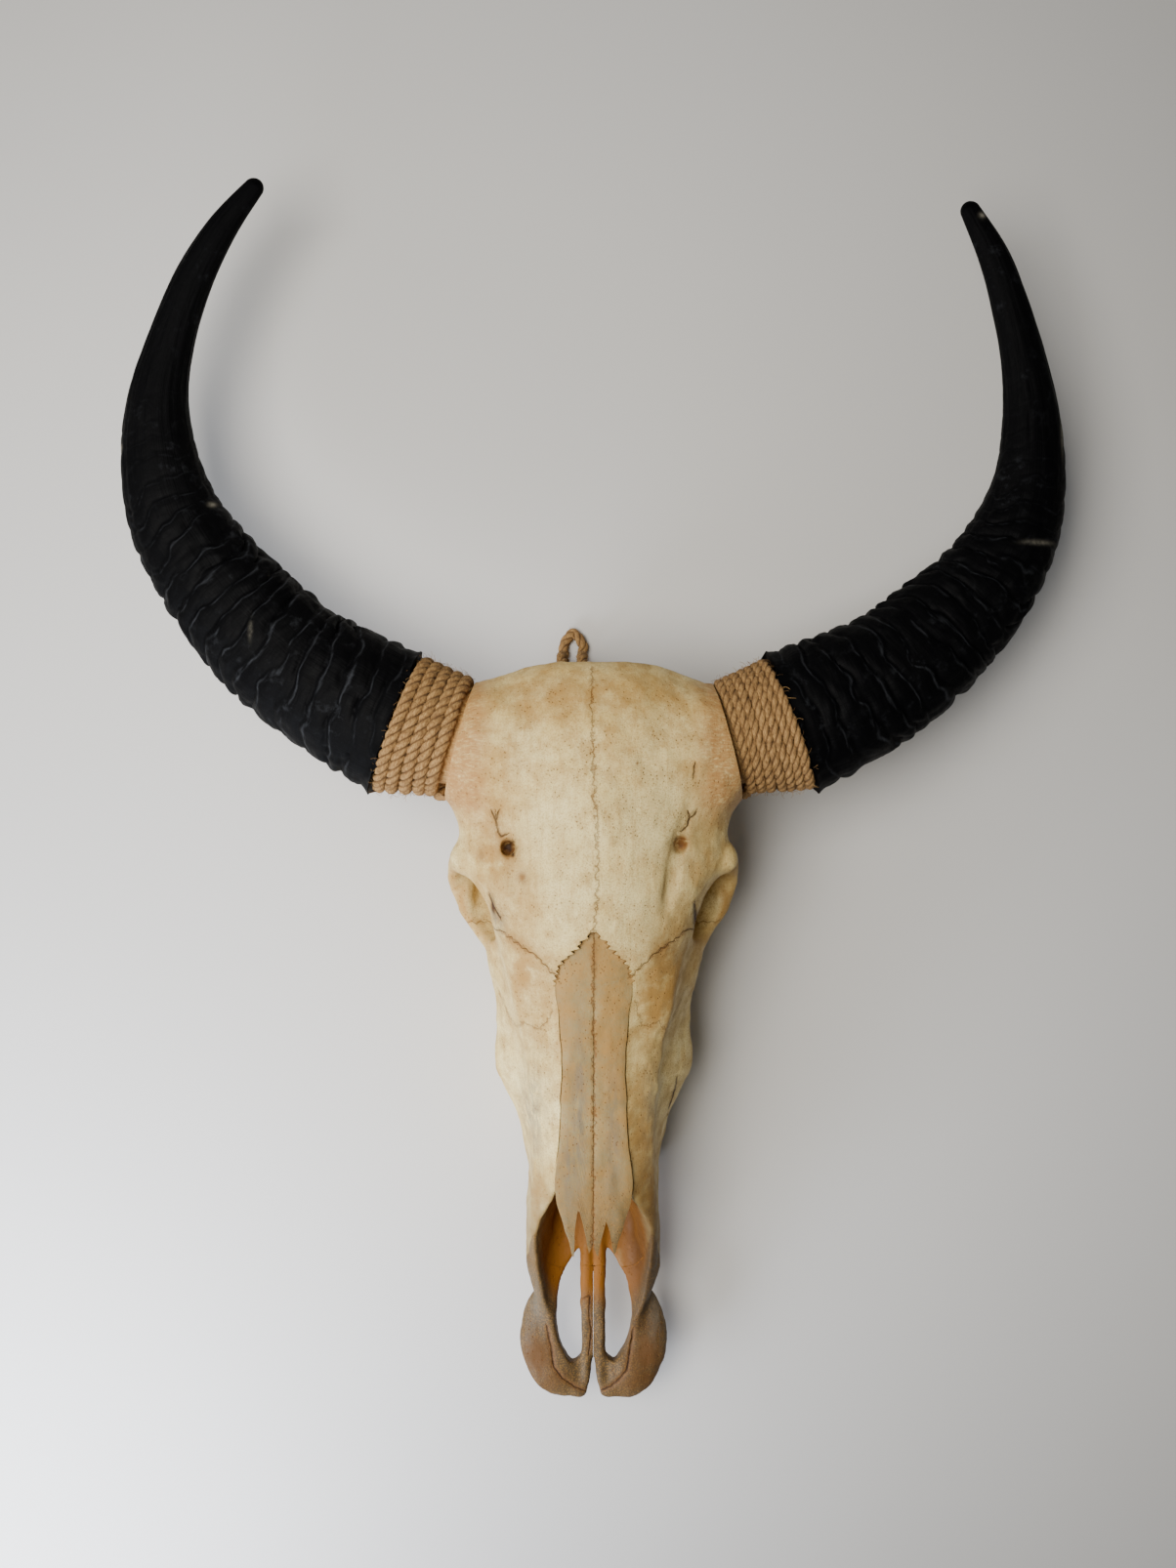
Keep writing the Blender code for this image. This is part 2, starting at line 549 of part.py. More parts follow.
def loft(name, rings, ring_shaped=False):
    """A closed mesh through rings of equal point counts. A ring-shaped one joins its last ring to its
    first."""
    form = bmesh.new()
    rows = [[form.verts.new(point) for point in ring] for ring in rings]
    ends = rows[:1] if ring_shaped else []
    for low, high in zip(rows, rows[1:] + ends):
        for n in range(len(low)):
            form.faces.new((low[n - 1], low[n], high[n], high[n - 1]))
    if not ring_shaped:
        form.faces.new(rows[0])
        form.faces.new(rows[-1])
    bmesh.ops.recalc_face_normals(form, faces=form.faces)
    mesh = bpy.data.meshes.new(name)
    form.to_mesh(mesh)
    form.free()
    return mesh


def boolean(target, operation, other):
    modifier = target.modifiers.new(f"{operation.lower()}_{other.name}", "BOOLEAN")
    modifier.operation = operation
    modifier.object = other
    return modifier


def largest_piece(target):
    """Bakes an object's modifiers and keeps the largest closed surface of the result."""
    graph = bpy.context.evaluated_depsgraph_get()
    mesh = bpy.data.meshes.new_from_object(target.evaluated_get(graph))
    target.modifiers.clear()
    form = bmesh.new()
    form.from_mesh(mesh)
    unseen, best = set(form.verts), []
    while unseen:
        piece, edge = [], [unseen.pop()]
        while edge:
            vert = edge.pop()
            piece.append(vert)
            for near in (link.other_vert(vert) for link in vert.link_edges):
                if near in unseen:
                    unseen.remove(near)
                    edge.append(near)
        best = max(best, piece, key=len)
    kept = set(best)
    bmesh.ops.delete(form, geom=[vert for vert in form.verts if vert not in kept], context="VERTS")
    form.to_mesh(mesh)
    form.free()
    target.data = mesh


def skin(target, name, colour, roughness):
    """Gives an object its material and rounds the look of its gentle edges."""
    looks = bpy.data.materials.get(name) or bpy.data.materials.new(name)
    looks.use_nodes = True
    shader = looks.node_tree.nodes["Principled BSDF"]
    shader.inputs["Base Color"].default_value = (*colour, 1)
    shader.inputs["Roughness"].default_value = roughness
    target.data.materials.clear()
    target.data.materials.append(looks)
    if target.type == "MESH":
        target.data.shade_smooth()
        target.data.set_sharp_from_angle(angle=math.radians(40))


def core_place(share):
    """(centre, radius, turn) of the horn core at a share of the way under the binding."""
    centre = BINDING_START.lerp(BINDING_END, share)
    radius = CORE_START_RADIUS + (CORE_END_RADIUS - CORE_START_RADIUS) * share
    return centre, radius, BINDING_START_TURN + (BINDING_END_TURN - BINDING_START_TURN) * share


def core_ring(centre, radius, turn, side_sign):
    """An upright ellipse of points round the horn core, turned by an angle as seen from above."""
    across = Vector((-math.sin(turn), math.cos(turn), 0))
    points = []
    for n in range(CORE_SIDES):
        angle = math.tau * n / CORE_SIDES
        point = centre + across * (radius * math.cos(angle))
        points.append((point.x * side_sign, point.y, point.z + radius * CORE_FLATNESS * math.sin(angle)))
    return points


def core_end(side, side_sign):
    """The end of a horn core that lies under the rope, as a guide that is joined to the cranium."""
    last_share = 1 - GAP / (BINDING_END - BINDING_START).length
    sections = [(CORE_START, CORE_START_RADIUS - CORE_ROOT_INSET, BINDING_START_TURN)]
    sections += [core_place(share) for share in (0, last_share)]
    rings = [core_ring(*section, side_sign) for section in sections]
    return guide(loft(f"core_end_{side}", rings))


def beyond_binding(side, side_sign):
    """A guide block over everything outward of the binding's inner face."""
    half, reach = 0.09, 0.12
    out = Vector((math.cos(BINDING_START_TURN), math.sin(BINDING_START_TURN), 0))
    rings = []
    for along in (0, reach):
        corners = []
        for across, up in ((-half, -half), (half, -half), (half, half), (-half, half)):
            point = BINDING_START + out * along + Vector((-out.y, out.x, 0)) * across + Vector((0, 0, up))
            corners.append((point.x * side_sign, point.y, point.z))
        rings.append(corners)
    return guide(loft(f"beyond_binding_{side}", rings))


def rope_binding(side, side_sign):
    """The turns of rope round a horn core, pressed together into one ridged sleeve."""
    steps = BINDING_TURNS[side] * STEPS_PER_TURN
    first = GAP / (BINDING_END - BINDING_START).length
    last = 1 - first
    rings = []
    for n in range(steps + 1):
        centre, radius, turn = core_place(first + (last - first) * n / steps)
        hollow = 1 - math.sin(math.pi * (n % STEPS_PER_TURN) / STEPS_PER_TURN)
        reach = radius + BINDING_THICKNESS[side] - ROPE_BITE - TURN_HOLLOW * hollow
        rings.append(core_ring(centre, reach, turn, side_sign))
    for share in (last, first):
        centre, radius, turn = core_place(share)
        rings.append(core_ring(centre, radius + BINDING_CLEARANCE, turn, side_sign))
    mesh = loft(f"rope_binding_{side}", rings, ring_shaped=True)
    skin(new_object(mesh.name, mesh), *ROPE)


def route_point(points, place):
    """A point of the smooth curve through evenly numbered points."""
    index = min(int(place), len(points) - 2)
    t = place - index
    before = points[index - 1] if index else 2 * points[0] - points[1]
    after = points[index + 2] if index + 2 < len(points) else 2 * points[-1] - points[-2]
    a, b = points[index], points[index + 1]
    return 0.5 * (2 * a + (b - before) * t + (2 * before - 5 * a + 4 * b - after) * t**2
                  + (3 * a - before - 3 * b + after) * t**3)


def horn_sheath(side, side_sign):
    """The black horn sheath: a flattened, ridged taper along its sweep, with a flat base at the binding."""
    length = (BINDING_END - BINDING_START).length
    base = BINDING_START.lerp(BINDING_END, 1 + GAP / length)
    base = Vector((base.x * side_sign, base.y, base.z))
    route = [base] + [Vector(point) for point in HORN_ROUTES[side]]
    widths = HORN_WIDTHS[side]
    width_at = curve(tuple(enumerate(widths)))
    start = Vector((math.cos(BINDING_END_TURN) * side_sign, math.sin(BINDING_END_TURN), 0))
    end = len(route) - 1
    angles = [math.tau * k / HORN_SIDES for k in range(HORN_SIDES)]
    full_turn_after = 4
    rings, travelled, last = [], 0.0, base
    for n in range(HORN_STATIONS):
        place = end * n / (HORN_STATIONS - 1)
        point = route_point(route, place)
        travelled += (point - last).length
        last = point
        ahead = route_point(route, min(place + 0.05, end)) - route_point(route, max(place - 0.05, 0))
        tangent = start.lerp(ahead.normalized(), min(1, n / full_turn_after)).normalized()
        across = Vector((0, 0, 1)).cross(tangent).normalized()
        up = tangent.cross(across)
        fade = max(0.0, 1 - place / (end * RIDGED_SHARE))
        ridge = RIDGE_DEPTH * fade * math.sin(math.tau * travelled / RIDGE_SPACING) if n else 0
        half = float(width_at(np.float32(place))) / 2 + ridge
        tall = half * HORN_FLATNESS
        rings.append([point + across * half * math.cos(t) + up * tall * math.sin(t) for t in angles])
    mesh = loft(f"horn_{side}", rings)
    skin(new_object(mesh.name, mesh), *HORN)


def nasal_rows(grow):
    """Rows along a nasal bone from the forehead to its tip, as (y, half width, midline height, crown)."""
    rows = []
    for n in range(NASAL_ROWS):
        share = n / (NASAL_ROWS - 1)
        y = np.float32(NASAL_REAR + (NASAL_FRONT - NASAL_REAR) * share + (0.5 - share) * 2 * grow)
        rows.append((float(y), float(nasal_width(y)) + grow, float(nasal_top(y)), float(crown(y))))
    return rows


def nasal_bone(side, side_sign):
    """One nasal bone, a long thin plate arched over the nose, its tip forked."""
    rings = []
    for y, half, top, curvature in nasal_rows(0):
        across = [GAP / 2 + (half - GAP / 2) * k / NASAL_COLUMNS for k in range(NASAL_COLUMNS + 1)]
        over = [(x * side_sign, y, top - curvature * x * x) for x in across]
        rings.append(over + [(x, y, z - NASAL_THICKNESS) for x, y, z in reversed(over)])
    mesh = loft(f"nasal_{side}", rings)
    made = new_object(mesh.name, mesh)
    fork = [[(x * side_sign, y, z) for x, y in NASAL_FORK] for z in (0.10, 0.15)]
    boolean(made, "DIFFERENCE", guide(loft(f"nasal_fork_{side}", fork)))
    largest_piece(made)
    skin(made, *BONE)


def nasal_bed():
    """The bed of both nasal bones, as a guide that is cut from the bones around them."""
    reach = 0.02
    rings = []
    for y, half, top, curvature in nasal_rows(GAP):
        across = [half * k / NASAL_COLUMNS for k in range(-NASAL_COLUMNS, NASAL_COLUMNS + 1)]
        surface = [(x, y, top - curvature * x * x) for x in across]
        over = [(x, y, z + reach) for x, y, z in surface]
        under = [(x, y, z - NASAL_THICKNESS - GAP) for x, y, z in reversed(surface)]
        rings.append(over + under)
    return guide(loft("nasal_bed", rings))


def tooth_row():
    """The twelve cheek teeth, each a column with two rounded lobes on its cheek side, as one guide."""
    row_x = curve(TOOTH_ROW_X)
    form = bmesh.new()
    for side_sign in (-1, 1):
        y = TOOTH_ROW_START
        for length, width in zip(TOOTH_LENGTHS, TOOTH_WIDTHS):
            middle_y = y + length / 2
            middle_x = float(row_x(np.float32(middle_y)))
            half_length, half_width = (length - TOOTH_SPACE) / 2, width / 2
            rings = []
            for z, scale in TOOTH_LEVELS:
                wide = half_width * scale
                places = [(side_sign * (middle_x + out * wide), middle_y + along * half_length, z)
                          for along, out in TOOTH_OUTLINE]
                rings.append([form.verts.new(place) for place in places])
            for low, high in zip(rings, rings[1:]):
                for n in range(len(TOOTH_OUTLINE)):
                    form.faces.new((low[n - 1], low[n], high[n], high[n - 1]))
            form.faces.new(rings[0])
            form.faces.new(rings[-1])
            y += length
    bmesh.ops.recalc_face_normals(form, faces=form.faces)
    mesh = bpy.data.meshes.new("tooth_row")
    form.to_mesh(mesh)
    form.free()
    return guide(mesh)


def loop_holes():
    """Two drill holes in the back of the skull, as one guide."""
    form = bmesh.new()
    for x in LOOP_LEG_X:
        place = Matrix.Translation((x, HOLE_FLOOR_Y + DRILL_LENGTH / 2, LOOP_LEG[0][1]))
        bmesh.ops.create_cone(form, cap_ends=True, segments=12, radius1=HOLE_RADIUS, radius2=HOLE_RADIUS,
                              depth=DRILL_LENGTH, matrix=place @ Matrix.Rotation(math.pi / 2, 4, "X"))
    mesh = bpy.data.meshes.new("loop_holes")
    form.to_mesh(mesh)
    form.free()
    return guide(mesh)


def hanging_loop():
    """The rope loop, from one drill hole down to the surface, round, and back into the other hole."""
    left, right = LOOP_LEG_X
    middle = (left + right) / 2
    route = [Vector((left, y, z)) for y, z in LOOP_LEG]
    route.append(Vector((middle, LOOP_TOP_Y, LOOP_LEG[-1][1])))
    route += [Vector((right, y, z)) for y, z in reversed(LOOP_LEG)]
    path = bpy.data.curves.new("hanging_loop", "CURVE")
    path.dimensions = "3D"
    path.bevel_depth = LOOP_RADIUS
    path.bevel_resolution = 2
    path.use_fill_caps = True
    spline = path.splines.new("POLY")
    spline.points.add(LOOP_POINTS - 1)
    for n, point in enumerate(spline.points):
        point.co = (*route_point(route, (len(route) - 1) * n / (LOOP_POINTS - 1)), 1)
    skin(new_object("hanging_loop", path), *ROPE)


def bone(name, region, form, cuts, joins, looks=BONE):
    """A named bone: what a region block holds of the bony form, less its cuts, with shapes joined to it."""
    made = new_object(name, region.data.copy())
    boolean(made, "INTERSECT", form)
    for other in cuts:
        boolean(made, "DIFFERENCE", other)
    for other in joins:
        boolean(made, "UNION", other)
    largest_piece(made)
    skin(made, *looks)


def mirrored_line(line):
    """A line from the outside to the midline, followed by its mirror image."""
    return [*line, *((-x, y) for x, y in reversed(line[:-1]))]


def main():
    for old in list(bpy.data.objects):
        bpy.data.objects.remove(old)
    sides = (("left", -1), ("right", 1))
    form = bone_form()
    bed = nasal_bed()
    seam = mirrored_line(FRONTAL_SEAM)
    behind = [*moved_line(seam, GAP / 2), (-BLOCK_WIDTH, BLOCK_REAR), (BLOCK_WIDTH, BLOCK_REAR)]
    ahead = [*moved_line(seam, -GAP / 2), (-BLOCK_WIDTH, BLOCK_FRONT), (BLOCK_WIDTH, BLOCK_FRONT)]
    muzzle = [*PREMAXILLA_SEAM, (BLOCK_FRONT, 0), (BLOCK_FRONT, PREMAXILLA_SEAM[0][1])]
    muzzle_cut = side_block("muzzle_cut", moved_line(muzzle, -GAP, closed=True), -BLOCK_WIDTH, BLOCK_WIDTH)
    cheek_outline = moved_line(CHEEKBONE_OUTLINE, -GAP, closed=True)
    cheek_cuts = []
    for side, sign in sides:
        ends = sign * CHEEKBONE_INNER_X, sign * BLOCK_WIDTH
        cheek_cuts.append(side_block(f"cheek_cut_{side}", cheek_outline, *ends))
    beyond = [beyond_binding(side, sign) for side, sign in sides]
    cores = [core_end(side, sign) for side, sign in sides]
    cranium_region, jaw_region = upright_block("cranium_region", behind), upright_block("jaw_region", ahead)
    bone("cranium", cranium_region, form, [*cheek_cuts, *beyond, bed, loop_holes()], cores)
    bone("upper_jaw", jaw_region, form, [*cheek_cuts, bed, muzzle_cut], [tooth_row()])
    for side, sign in sides:
        region = side_block(f"premaxilla_region_{side}", muzzle, sign * GAP / 2, sign * BLOCK_WIDTH)
        bone(f"premaxilla_{side}", region, form, [bed], [], STAINED_BONE)
        inner = sign * (CHEEKBONE_INNER_X + GAP)
        region = side_block(f"cheek_region_{side}", CHEEKBONE_OUTLINE, inner, sign * BLOCK_WIDTH)
        bone(f"cheekbone_{side}", region, form, [], [])
        nasal_bone(side, sign)
        rope_binding(side, sign)
        horn_sheath(side, sign)
    hanging_loop()


main()
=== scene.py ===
"""Museum view of an adult water buffalo skull: dry bone, black horn sheaths, jute bindings and a jute loop.

X runs across the skull, Y from the muzzle to the poll, and Z up from the floor that it lies on. Lengths are
in metres. The camera looks straight down, so the horn tips are at the top of the picture.
"""

import json
import math
from collections import namedtuple

import bmesh
import bpy
import numpy as np
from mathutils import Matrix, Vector

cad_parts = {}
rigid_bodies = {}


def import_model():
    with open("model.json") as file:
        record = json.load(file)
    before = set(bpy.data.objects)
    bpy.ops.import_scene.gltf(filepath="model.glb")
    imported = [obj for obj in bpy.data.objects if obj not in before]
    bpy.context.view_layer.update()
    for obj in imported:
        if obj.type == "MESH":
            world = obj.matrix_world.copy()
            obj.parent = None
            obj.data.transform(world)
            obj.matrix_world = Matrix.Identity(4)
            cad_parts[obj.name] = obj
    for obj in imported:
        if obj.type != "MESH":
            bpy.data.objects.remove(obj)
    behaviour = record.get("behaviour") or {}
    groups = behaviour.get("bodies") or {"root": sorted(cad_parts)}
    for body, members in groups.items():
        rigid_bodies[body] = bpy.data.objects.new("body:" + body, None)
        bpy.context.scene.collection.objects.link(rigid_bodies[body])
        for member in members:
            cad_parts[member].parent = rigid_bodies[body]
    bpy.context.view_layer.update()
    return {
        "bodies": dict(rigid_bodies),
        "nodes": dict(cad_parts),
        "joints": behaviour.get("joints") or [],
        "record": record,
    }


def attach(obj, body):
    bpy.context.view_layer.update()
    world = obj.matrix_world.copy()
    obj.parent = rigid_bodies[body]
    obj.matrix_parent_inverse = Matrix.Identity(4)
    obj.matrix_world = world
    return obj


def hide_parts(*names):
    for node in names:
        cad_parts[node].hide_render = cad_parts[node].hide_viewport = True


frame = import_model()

# The camera hangs over the floor at the photograph's distance and looks along -Z
CAMERA_PLACE = (-0.004, 0.0114, 1.35)
CAMERA_LENS_MM = 39.5
CAMERA_SENSOR_MM = 36.0
CAMERA_SEES_FROM = 0.05
CAMERA_SEES_TO = 20

# Each light: name, place, what it faces, size, power, spread in degrees and tint
LIGHTS = (
    ("lamp_low_left", (-0.66, -0.76, 0.38), (-0.48, -0.56, 0.0), 0.5, 8.2, 108, "EAF1FF"),
    ("window_left", (-0.85, -0.35, 0.50), (-0.40, -0.20, 0.0), 0.6, 2.9, 180, "F6F9FF"),
    ("window_high_left", (-0.70, 0.50, 0.70), (-0.20, 0.20, 0.0), 0.6, 0.9, 180, "F6F9FF"),
    ("ceiling_lamp", (-0.56, 0.0, 1.65), (-0.17, 0.05, 0.0), 0.9, 10.6, 90, "FFFBF4"),
)
# The light that comes from all round the room, and the floor's reach and the size of its faint clouds
WORLD_STRENGTH = 0.13
FLOOR_HALF_WIDTH = 6.0
FLOOR_CLOUD_SIZE = 0.5

# The kinds of node that the finishes and the ropes use most
MATH, RANGE, MIX = "ShaderNodeMath", "ShaderNodeMapRange", "ShaderNodeMix"
NOISE, CELLS, NAMED = "ShaderNodeTexNoise", "ShaderNodeTexVoronoi", "ShaderNodeAttribute"
PLACE, MAPPING, BUMP = "ShaderNodeTexCoord", "ShaderNodeMapping", "ShaderNodeBump"
IN_COLOUR = {"data_type": "RGBA"}

# Colours of each finish, as sRGB hex values
BONE_CREAM = "E3C983"
BONE_PALE = "EDDA9C"
# Tan for stains, and for painted shade in the eye sockets and underneath
BONE_TAN = "A87D3E"
BONE_BROWN = "76491F"
# The darkest bone colour paints shade in holes and grooves, and draws the cracks
BONE_DARK = "2E1C0E"
BONE_GREY = "6E695C"
BONE_PINK = "AC7B47"
BONE_ORANGE = "5C3D1D"
# Umber: the nose passage's stain, with painted shade of the recess
BONE_UMBER = "855217"
BONE_SMOKE = "4C402C"
BONE_DULL = "A29166"
BONE_FATTY = "655038"
BONE_WEATHERED = "8A7952"
ENAMEL_IVORY = "D8CBAE"
ENAMEL_STAIN = "8A6A40"
HORN_BLACK = "060607"
HORN_DEEP = "040405"
# Grey of the scuffs, also the painted highlights on the horn's fold crests
HORN_SCUFF_AND_HIGHLIGHT = "3C3E42"
HORN_CHIP = "8E897B"
JUTE_LIGHT = "B58F58"
JUTE_MID = "75522A"
# Dark jute for aged spots and for painted shade between the strands
JUTE_DARK = "4D3114"
FLOOR_GREY = "CFCDC9"
FLOOR_PALE = "D6D4D0"
SKY_PALE = "D9DCE0"

# Sizes of the bone's patterns: blotches, clouds, grain, streaks along, threads across, wander, specks, pores
BLOTCH_SIZE = 0.034
CLOUD_SIZE = 0.013
GRAIN_SIZE = 0.0022
STREAK_SIZE = 0.0030
THREAD_SIZE = 0.0016
WARP_SIZE = 0.0042
SPECK_SIZE = 0.0011
PORE_SPACING = 0.0026

# Sizes of the horn's patterns: lines along it, rings across it, clouds and scuffs
HORN_LINE_SIZE = 0.0014
HORN_RING_SIZE = 0.0030
HORN_CLOUD_SIZE = 0.040
HORN_SCUFF_SIZE = 0.010

# How far one fibre of the jute shows along its strand, and the size of its darker spots
FIBRE_RUN = 0.016
JUTE_SPOT_SIZE = 0.006

# The gap between touching pieces, and the grid that the bone is shaped on
GAP = 0.0003
GRID_STEP = 0.00155

# The blocks that part the bones reach past the skull: across, ahead, below and above it
BLOCK_HEIGHT = 0.26
BLOCK_HALF_WIDTH = 0.2
BLOCK_FRONT_Y = -0.6
BLOCK_LOW_Z = -0.05
BLOCK_HIGH_Z = 0.3
SHARP_ANGLE = math.radians(55)

# The skull's ends along Y, the sweep of its poll seen from above, and the lean of its back
POLL_Y = 0.0992
POLL_SWEEP = 600.0
NUCHAL_LEAN = 0.57
MUZZLE_Y = -0.455

# Profiles along Y, from muzzle to poll: the height of the roof on the midline, and how arched it is across
ROOF_HEIGHTS = (
    (-0.45, 0.056), (-0.41, 0.057), (-0.375, 0.072), (-0.34, 0.092), (-0.31, 0.112), (-0.285, 0.127),
    (-0.25, 0.142), (-0.19, 0.163), (-0.15, 0.176), (-0.115, 0.188), (-0.085, 0.199), (-0.05, 0.209),
    (-0.015, 0.213), (0.02, 0.210), (0.05, 0.202), (0.075, 0.190), (0.10, 0.176),
)
ROOF_CROWN = (
    (-0.45, 1.0), (-0.30, 2.0), (-0.19, 4.0), (-0.115, 6.5), (-0.085, 7.5), (-0.05, 6.2), (0.0, 6.6),
    (0.10, 7.5),
)

# Half widths along Y: of the brows, and of the face at its nasal edges, shoulders, side crests and jaw
BROW_WIDTHS = (
    (-0.16, 0.030), (-0.12, 0.042), (-0.095, 0.054), (-0.078, 0.061), (-0.060, 0.076), (-0.044, 0.0960),
    (-0.034, 0.0945), (-0.015, 0.0925), (0.01, 0.092), (0.10, 0.088),
)
NASAL_EDGE_WIDTHS = (
    (-0.45, 0.034), (-0.38, 0.038), (-0.30, 0.0425), (-0.27, 0.031), (-0.19, 0.025), (-0.15, 0.028),
    (-0.085, 0.045),
)
SHOULDER_WIDTHS = (
    (-0.45, 0.045), (-0.385, 0.0512), (-0.36, 0.0500), (-0.30, 0.0470), (-0.25, 0.0430), (-0.19, 0.047),
    (-0.15, 0.054), (-0.085, 0.067),
)
CREST_WIDTHS = (
    (-0.45, 0.047), (-0.385, 0.0520), (-0.36, 0.0512), (-0.33, 0.0502), (-0.30, 0.0492), (-0.262, 0.0490),
    (-0.235, 0.0545), (-0.215, 0.0635), (-0.193, 0.0712), (-0.165, 0.0680), (-0.12, 0.0712),
    (-0.085, 0.071),
)
JAW_WIDTHS = (
    (-0.45, 0.040), (-0.30, 0.0455), (-0.28, 0.0485), (-0.25, 0.0565), (-0.215, 0.0605), (-0.16, 0.066),
    (-0.14, 0.066), (-0.11, 0.060), (-0.08, 0.052),
)

# Heights along Y of the side crests and of the underside, and how far the shoulders lie below the roof
CREST_HEIGHTS = ((-0.45, 0.060), (-0.34, 0.072), (-0.25, 0.078), (-0.19, 0.088), (-0.085, 0.112))
UNDER_HEIGHTS = (
    (-0.45, 0.040), (-0.31, 0.043), (-0.298, 0.037), (-0.286, 0.020), (-0.27, 0.017), (-0.14, 0.016),
    (-0.125, 0.022), (-0.108, 0.040), (-0.09, 0.056), (-0.07, 0.070),
)
SHOULDER_DROP = 0.022

# The eye socket and the openings of the nose
ORBIT_CENTRE = Vector((0.0805, -0.0735, 0.1275))
ORBIT_AXIS = Vector((0.80, -0.46, 0.42)).normalized()
ORBIT_RADIUS = 0.0300
CAVITY_WIDTHS = (
    (-0.42, 0.026), (-0.39, 0.0315), (-0.362, 0.0372), (-0.305, 0.0376), (-0.285, 0.0280), (-0.27, 0.0225),
    (-0.19, 0.0190),
)
CAVITY_FLOOR = 0.056
FISSURE_REAR = -0.335
FISSURE_FRONT = -0.4243
FISSURE_INNER_EDGE = ((-0.4243, 0.0150), (-0.418, 0.0095), (-0.40, 0.0084), (-0.36, 0.0084), (-0.335, 0.0088))
FISSURE_OUTER_EDGE = (
    (-0.4243, 0.0165), (-0.412, 0.0235), (-0.395, 0.0280), (-0.38, 0.0284), (-0.364, 0.0252),
    (-0.348, 0.0175), (-0.335, 0.0095),
)

# The nasal bones lie in a bed in the roof of the nose, with free, forked tips
NASAL_WIDTHS = (
    (-0.327, 0.0155), (-0.30, 0.0222), (-0.284, 0.0268), (-0.243, 0.0250), (-0.182, 0.0220), (-0.14, 0.0245),
    (-0.125, 0.0262), (-0.118, 0.0258), (-0.112, 0.0235), (-0.103, 0.0160), (-0.095, 0.0085),
    (-0.0875, 0.0015),
)
NASAL_TOPS = (
    (-0.33, 0.1245), (-0.29, 0.1325), (-0.25, 0.1432), (-0.19, 0.1640), (-0.15, 0.1770), (-0.115, 0.1890),
    (-0.0875, 0.1985),
)
NASAL_THICKNESS = 0.0048
NASAL_REAR_Y = -0.0875
NASAL_TOOTHED_TO_Y = -0.1250
NASAL_FRONT_Y = -0.3265
NASAL_COLUMNS = 20
BED_CLEARANCE = 0.02

# The nasal bones' edges: teeth where they meet the forehead, a slight wander, and an open crack ahead
SEAM_TOOTH = 0.0036
SEAM_TOOTH_DEPTH = 0.0017
SEAM_WOBBLE = 0.0005
SIDE_CRACK = 0.0005

# The front end of each nasal bone along Y, from its inner edge (0) to its outer edge (1)
NASAL_TIPS = {
    "left": ((0, -0.3165), (0.22, -0.3228), (0.42, -0.2885), (0.93, -0.3265), (1.0, -0.3240)),
    "right": ((0, -0.3190), (0.19, -0.3258), (0.40, -0.2990), (0.93, -0.3245), (1.0, -0.3215)),
}

# Six cheek teeth on each side, front to back
TOOTH_LENGTHS = (0.016, 0.0190, 0.0205, 0.0255, 0.0295, 0.0325)
TOOTH_WIDTHS = (0.015, 0.0180, 0.0205, 0.0235, 0.0250, 0.0240)
TOOTH_ROW_START = -0.284
TOOTH_ROW_X = ((-0.284, 0.0370), (-0.23, 0.0450), (-0.18, 0.0505), (-0.138, 0.0520))
TOOTH_TOP = 0.026
TOOTH_SPACE = 0.0006
TOOTH_COLUMNS = 36

# A tooth from its worn table up into the jaw: height and share of its full width
TOOTH_STEPS = (
    (0.0016, 0.55), (0.0008, 0.72), (0.0, 0.88), (0.0007, 0.95), (0.004, 1.0), (TOOTH_TOP, 0.97),
)

# Each horn core runs out under a rope binding to its sheath's base, turned in the plane seen from above
CORE_START = Vector((0.066, 0.0365, 0.1470))
BINDING_START = Vector((0.0927, 0.0434, 0.1425))
BINDING_END = Vector((0.1394, 0.0543, 0.1355))
BINDING_START_TURN = math.radians(14.5)
BINDING_END_TURN = math.radians(20.5)
CORE_START_RADIUS = 0.0330
CORE_END_RADIUS = 0.0425
CORE_FLATNESS = 0.82
CORE_COLUMNS = 72
ROPE_DIAMETER = 0.008
BINDING_TURNS = {"left": 5, "right": 7}
ROPE_RADII = {"left": 0.0048, "right": 0.0038}
BINDING_FIRST_ANGLE = math.radians(-150)
BINDING_OVERLAP = 0.9
ROPE_POINTS_PER_TURN = 190
ROPE_COLUMNS = 24

# Loose fibres: how thick, how bent, how long on the loop and on the bindings, and how many
FIBRE_RADIUS = 0.00009
FIBRE_CURVE = ((0, 0, -0.0002), (0, 0, 0.0012), (0.0010, 0, 0.0020), (0.0034, 0.0004, 0.0022))
FIBRE_CURVE_REACH = 0.0035
LOOP_FIBRE_LENGTH = 0.0025
BINDING_FIBRE_LENGTH = 0.0050
FIBRES_PER_SQUARE_METRE = 55000.0
SIDES = (("left", -1), ("right", 1))

# Each sheath's centreline from base to tip, with its width there
HORN_ROUTES = {
    "left": (
        (-0.1767, 0.0752, 0.128), (-0.2148, 0.0987, 0.120), (-0.2478, 0.1301, 0.112),
        (-0.2772, 0.1639, 0.106), (-0.3022, 0.2025, 0.103), (-0.3143, 0.2458, 0.102),
        (-0.3157, 0.2905, 0.102), (-0.3056, 0.3348, 0.103), (-0.2904, 0.3756, 0.104),
        (-0.2683, 0.4142, 0.105), (-0.2410, 0.4480, 0.106),
    ),
    "right": (
        (0.1805, 0.0731, 0.128), (0.2180, 0.0945, 0.120), (0.2510, 0.1224, 0.112),
        (0.2812, 0.1533, 0.106), (0.3043, 0.1905, 0.103), (0.3160, 0.2310, 0.102),
        (0.3175, 0.2735, 0.102), (0.3120, 0.3150, 0.103), (0.3022, 0.3558, 0.104),
        (0.2885, 0.3951, 0.105), (0.2690, 0.4320, 0.106),
    ),
}
